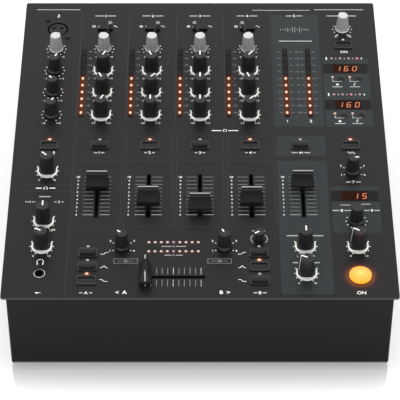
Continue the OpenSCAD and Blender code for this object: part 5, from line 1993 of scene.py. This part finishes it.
@dataclass
class CaseTrim:
    """The body's finishes, its screws and the prints at its rear.

    Args:
        frame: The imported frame.
        xlr_x: The x of the two output sockets.
        xlr_z: Their z.
        inlet: The x and z of the mains inlet.
        phono_pitch: Distance between neighbouring phono sockets.
        phono_x: How far the first pair stands from the middle.
        print_z: Height of the print over the phono sockets.
    """

    frame: PackedFrame
    xlr_x: Point = (55.0, 83.0)
    xlr_z: float = 48.0
    inlet: Point = (125.0, 24.0)
    phono_pitch: float = 15.0
    phono_x: float = 133.0
    print_z: float = 67.5

    def build(self) -> None:
        """Dresses the body, the sockets and what is inside."""
        buttons = [f"{use}_buttons_{way}" for use in ("cue", "kill") for way in ("released", "latched")]
        finishes = {
            PANEL_ENAMEL: ["top_panel"],
            CASE_COAT: ["case_shell", "rear_panel"],
            RUBBER: ["feet"],
            BLACK_ABS: ["button_bezels"],
            GLOSS_ABS: ["panel_sockets", "power_rocker"],
            self.socket_finish(): ["rear_sockets"],
            CONTROL_PARTS: ["control_board"],
            SUPPLY_PARTS: ["power_supply"],
            BUTTON_ABS: buttons + ["tempo_buttons"],
            SATIN_STEEL: [f"ch{c}_input_toggle" for c in CHANNELS],
        }
        for finish, nodes in finishes.items():
            for node in nodes:
                self.frame.dress(node, finish)
        self.side_screws()
        self.socket_screws()
        self.hem()
        self.rear_screws()
        self.rear_print()

    def socket_finish(self) -> SocketFinish:
        """Returns the finish of the rear sockets, with a plated spot on each pin."""
        turns = [math.radians(a) for a in (30, 150, 270)]
        pins = [(x - 4 * math.cos(a), self.xlr_z + 4 * math.sin(a), 1.3) for x in self.xlr_x for a in turns]
        pins += [(self.inlet[0] + x, self.inlet[1] + z, 2.4) for x, z in ((-7, -2), (7, -2), (0, 2))]
        places = {"face_mm": self.frame.box("rear_panel")[1].y, "pins_mm": tuple(pins)}
        return SocketFinish("socket_plastic_and_plate", "#161617", 0.4, 0.3, 0.003, **places)

    def on_rear(self) -> Matrix:
        """Returns the way from a flat drawing to the outer face of the rear panel, read from behind."""
        face = self.frame.box("rear_panel")[1].y
        return Matrix(((-1, 0, 0, 0), (0, 0, 1, face), (0, 1, 0, 0), (0, 0, 0, 1)))

    def rear_screws(self) -> None:
        """Adds the screws of the rear panel, and those of its sockets, which stand on flanges."""
        screws = Solid("rear_screws", BLACK_STEEL)
        flange = 1.8
        places = [(side * x, z, 0.0) for side in SIDES for x, z in ((151, 12), (151, 76), (60, 76))]
        places += [(s * 10.3 - x, self.xlr_z + s * 12.8, flange) for x in self.xlr_x for s in SIDES]
        places += [(s * 20 - self.inlet[0], self.inlet[1], flange) for s in SIDES]
        for place in places:
            screws.dome(place, 2.2, 0.9, segments=18)
        screws.place(screws.bm.verts, self.on_rear())
        screws.piece(smooth=True)

    def rear_print(self) -> None:
        """Prints the numbers and symbols over the rear sockets."""
        ink = InkLayer("rear_print", WHITE_INK, letters=Lettering())
        for i in range(8):
            ink.numerals(str(4 - i // 2), self.phono_x - self.phono_pitch * i, self.print_z, 2.6)
        for i in range(4):
            middle = self.phono_x - self.phono_pitch * (2 * i + 0.5)
            ink.line((middle - 11, 65.0), (middle + 11, 65.0), 0.4)
        marks = SymbolPress(ink, 0.45)
        for x, symbol in ((5, Symbol.RECORD), (20, Symbol.SPEAKER), (35, Symbol.WAVE)):
            marks.press(symbol, -x, self.print_z, 3.0)
        for x, word in zip(self.xlr_x, "RL"):
            ink.numerals(word, -x, self.xlr_z + 18.4, 3.0)
        for u in (110.5, 50.5):
            for i in range(3):
                ink.line((u - 3.0 + i, 27.0 - i), (u + 3.0 - i, 27.0 - i), 0.4)
        ink.numerals("ON", -self.inlet[0] + 15, 57.0, 2.4)
        ink.place(ink.bm.verts, self.on_rear())
        ink.piece()

    def socket_screws(self) -> None:
        """Adds the two screws in the flange of the microphone socket."""
        top = self.frame.box("top_panel")[1].z
        screws = Solid("mic_socket_screws", BLACK_STEEL)
        for x, y in ((-139.1, 159.5), (-120.1, 135.5)):
            screws.disc((x, y, top - 0.02), 2.7, 0.08, segments=24)
            screws.dome((x, y, top + 0.05), 2.1, 0.7, segments=20)
        screws.piece(smooth=True)

    def hem(self) -> None:
        """Adds a painted highlight along the folded hem at the front, where its rounded bend reflects the
        floor.
        """
        low, high = self.frame.box("case_shell")
        hem = Solid("front_hem_highlight", HEM_HIGHLIGHT_PAINT)
        hem.block((low.x + 2, low.y - 0.03, low.z + 0.1), (high.x - 2, low.y + 0.2, low.z + 1.0), bevel=0.02)
        hem.piece()

    def side_screws(self) -> None:
        """Adds the countersunk screws that hold the body together at its sides."""
        low, high = self.frame.box("case_shell")
        screws = Solid("case_side_screws", BLACK_STEEL)
        for side, x in zip(SIDES, (low.x, high.x)):
            turn = Matrix.Rotation(side * math.pi / 2, 4, "Y")
            for place in ((x, y, z) for y in (-120, 0, 120) for z in (20, 74)):
                screws.dome((0, 0, -0.02), 3.4, 0.1, segments=24, turn=Matrix.Translation(place) @ turn)
        screws.piece(smooth=True)


@dataclass
class Stage:
    """The floor, the lamps and the camera.

    Args:
        frame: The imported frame.
        pitch: How far the camera looks down, in degrees.
        back: The camera's distance in front of the mixer's middle, in millimetres.
        up: Its height over the top panel.
        lens: Its focal length.
        sensor: Width of its sensor.
        reach: Half the floor's width, in metres.
    """

    frame: PackedFrame
    pitch: float = 44.72
    back: float = 1330.2
    up: float = 1244.4
    lens: float = 190.1
    sensor: float = 36.0
    reach: float = 4.0

    def build(self) -> None:
        """Sets the scene."""
        self.camera()
        self.floor()
        self.world()
        self.lamp("rear_softbox", (0.0, 0.9, 1.8), (0.0, 0.1, 0.08), 1.0, 22.0)
        self.lamp("front_softbox", (0.0, -1.5, 1.3), (0.0, -0.4, 0.0), 1.4, 14.0)

    @staticmethod
    def add(name: str, data: bpy.types.ID) -> bpy.types.Object:
        """Puts new data in the scene.

        Args:
            name: The object's name.
            data: Its data.

        Returns:
            The new object.
        """
        made = bpy.data.objects.new(name, data)
        bpy.context.scene.collection.objects.link(made)
        return made

    @staticmethod
    def facing(way: Vector) -> Vector:
        """Returns the rotation of a camera or a lamp that looks a given way."""
        return way.to_track_quat("-Z", "Y").to_euler()

    def camera(self) -> None:
        """Places the camera."""
        data = bpy.data.cameras.new("camera")
        data.lens = self.lens
        data.sensor_width = self.sensor
        data.clip_start = 0.05
        data.clip_end = 20.0
        camera = self.add("camera", data)
        top = self.frame.box("top_panel")[1].z
        camera.location = (0.0, -self.back * MM, (top + self.up) * MM)
        down = math.radians(self.pitch)
        camera.rotation_euler = self.facing(Vector((0.0, math.cos(down), -math.sin(down))))
        bpy.context.scene.camera = camera

    def floor(self) -> None:
        """Lays a pale floor with a soft polish."""
        bm = bmesh.new()
        bmesh.ops.create_grid(bm, x_segments=1, y_segments=1, size=self.reach)
        mesh = bpy.data.meshes.new("floor")
        bm.to_mesh(mesh)
        bm.free()
        floor = self.add("floor", mesh)
        front = self.frame.box("case_shell")[0].y * MM
        mesh.materials.append(WhiteFloor("white_acrylic_floor", front).material())

    def world(self) -> None:
        """Lights the scene with a tent that darkens overhead, and shows white behind it."""
        world = bpy.data.worlds.new("studio")
        bpy.context.scene.world = world
        world.use_nodes = True
        tree = world.node_tree
        tree.nodes.clear()
        ray = add_node(tree, "ShaderNodeLightPath").outputs["Is Camera Ray"]
        way = add_node(tree, "ShaderNodeTexCoord").outputs["Generated"]
        height = add_node(tree, "ShaderNodeSeparateXYZ", Vector=way).outputs["Z"]
        ends = {"From_Min": 0.45, "From_Max": 0.9, "To_Min": 1.1, "To_Max": 0.35}
        strengths = (add_node(tree, "ShaderNodeMapRange", Value=height, **ends).outputs[0], 1.0)
        tent, white = (
            add_node(tree, "ShaderNodeBackground", Color=(1, 1, 1, 1), Strength=level).outputs[0]
            for level in strengths
        )
        mixed = add_node(tree, "ShaderNodeMixShader", i0=ray, i1=tent, i2=white).outputs[0]
        add_node(tree, "ShaderNodeOutputWorld", Surface=mixed)

    def lamp(
        self, name: str, place: Sequence[float], target: Sequence[float], size: float, power: float
    ) -> None:
        """Adds a square softbox.

        Args:
            name: Its name.
            place: Where it stands, in metres.
            target: What it faces.
            size: Its side.
            power: Its power in watts.
        """
        data = bpy.data.lights.new(name, "AREA")
        data.size = size
        data.energy = power
        lamp = self.add(name, data)
        lamp.location = place
        lamp.rotation_euler = self.facing(Vector(target) - Vector(place))
        lamp.visible_glossy = False


def corners(box: tuple[Vector, Vector]) -> list[list[float]]:
    """Returns a box as plain lists."""
    return [[float(c) for c in corner] for corner in box]


def main() -> None:
    """Builds the stage, then dresses the mixer."""
    logging.basicConfig(level=logging.INFO, format="%(name)s: %(message)s")
    frame = PackedFrame(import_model())
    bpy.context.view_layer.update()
    bpy.context.scene.view_settings.view_transform = "Standard"
    Stage(frame).build()
    CaseTrim(frame).build()
    Knobs(frame).build()
    Faders(frame).build()
    Lights(frame).build()
    EffectSwitch(frame).build()
    TopPrint(frame).build()


if __name__ == "__main__":
    main()
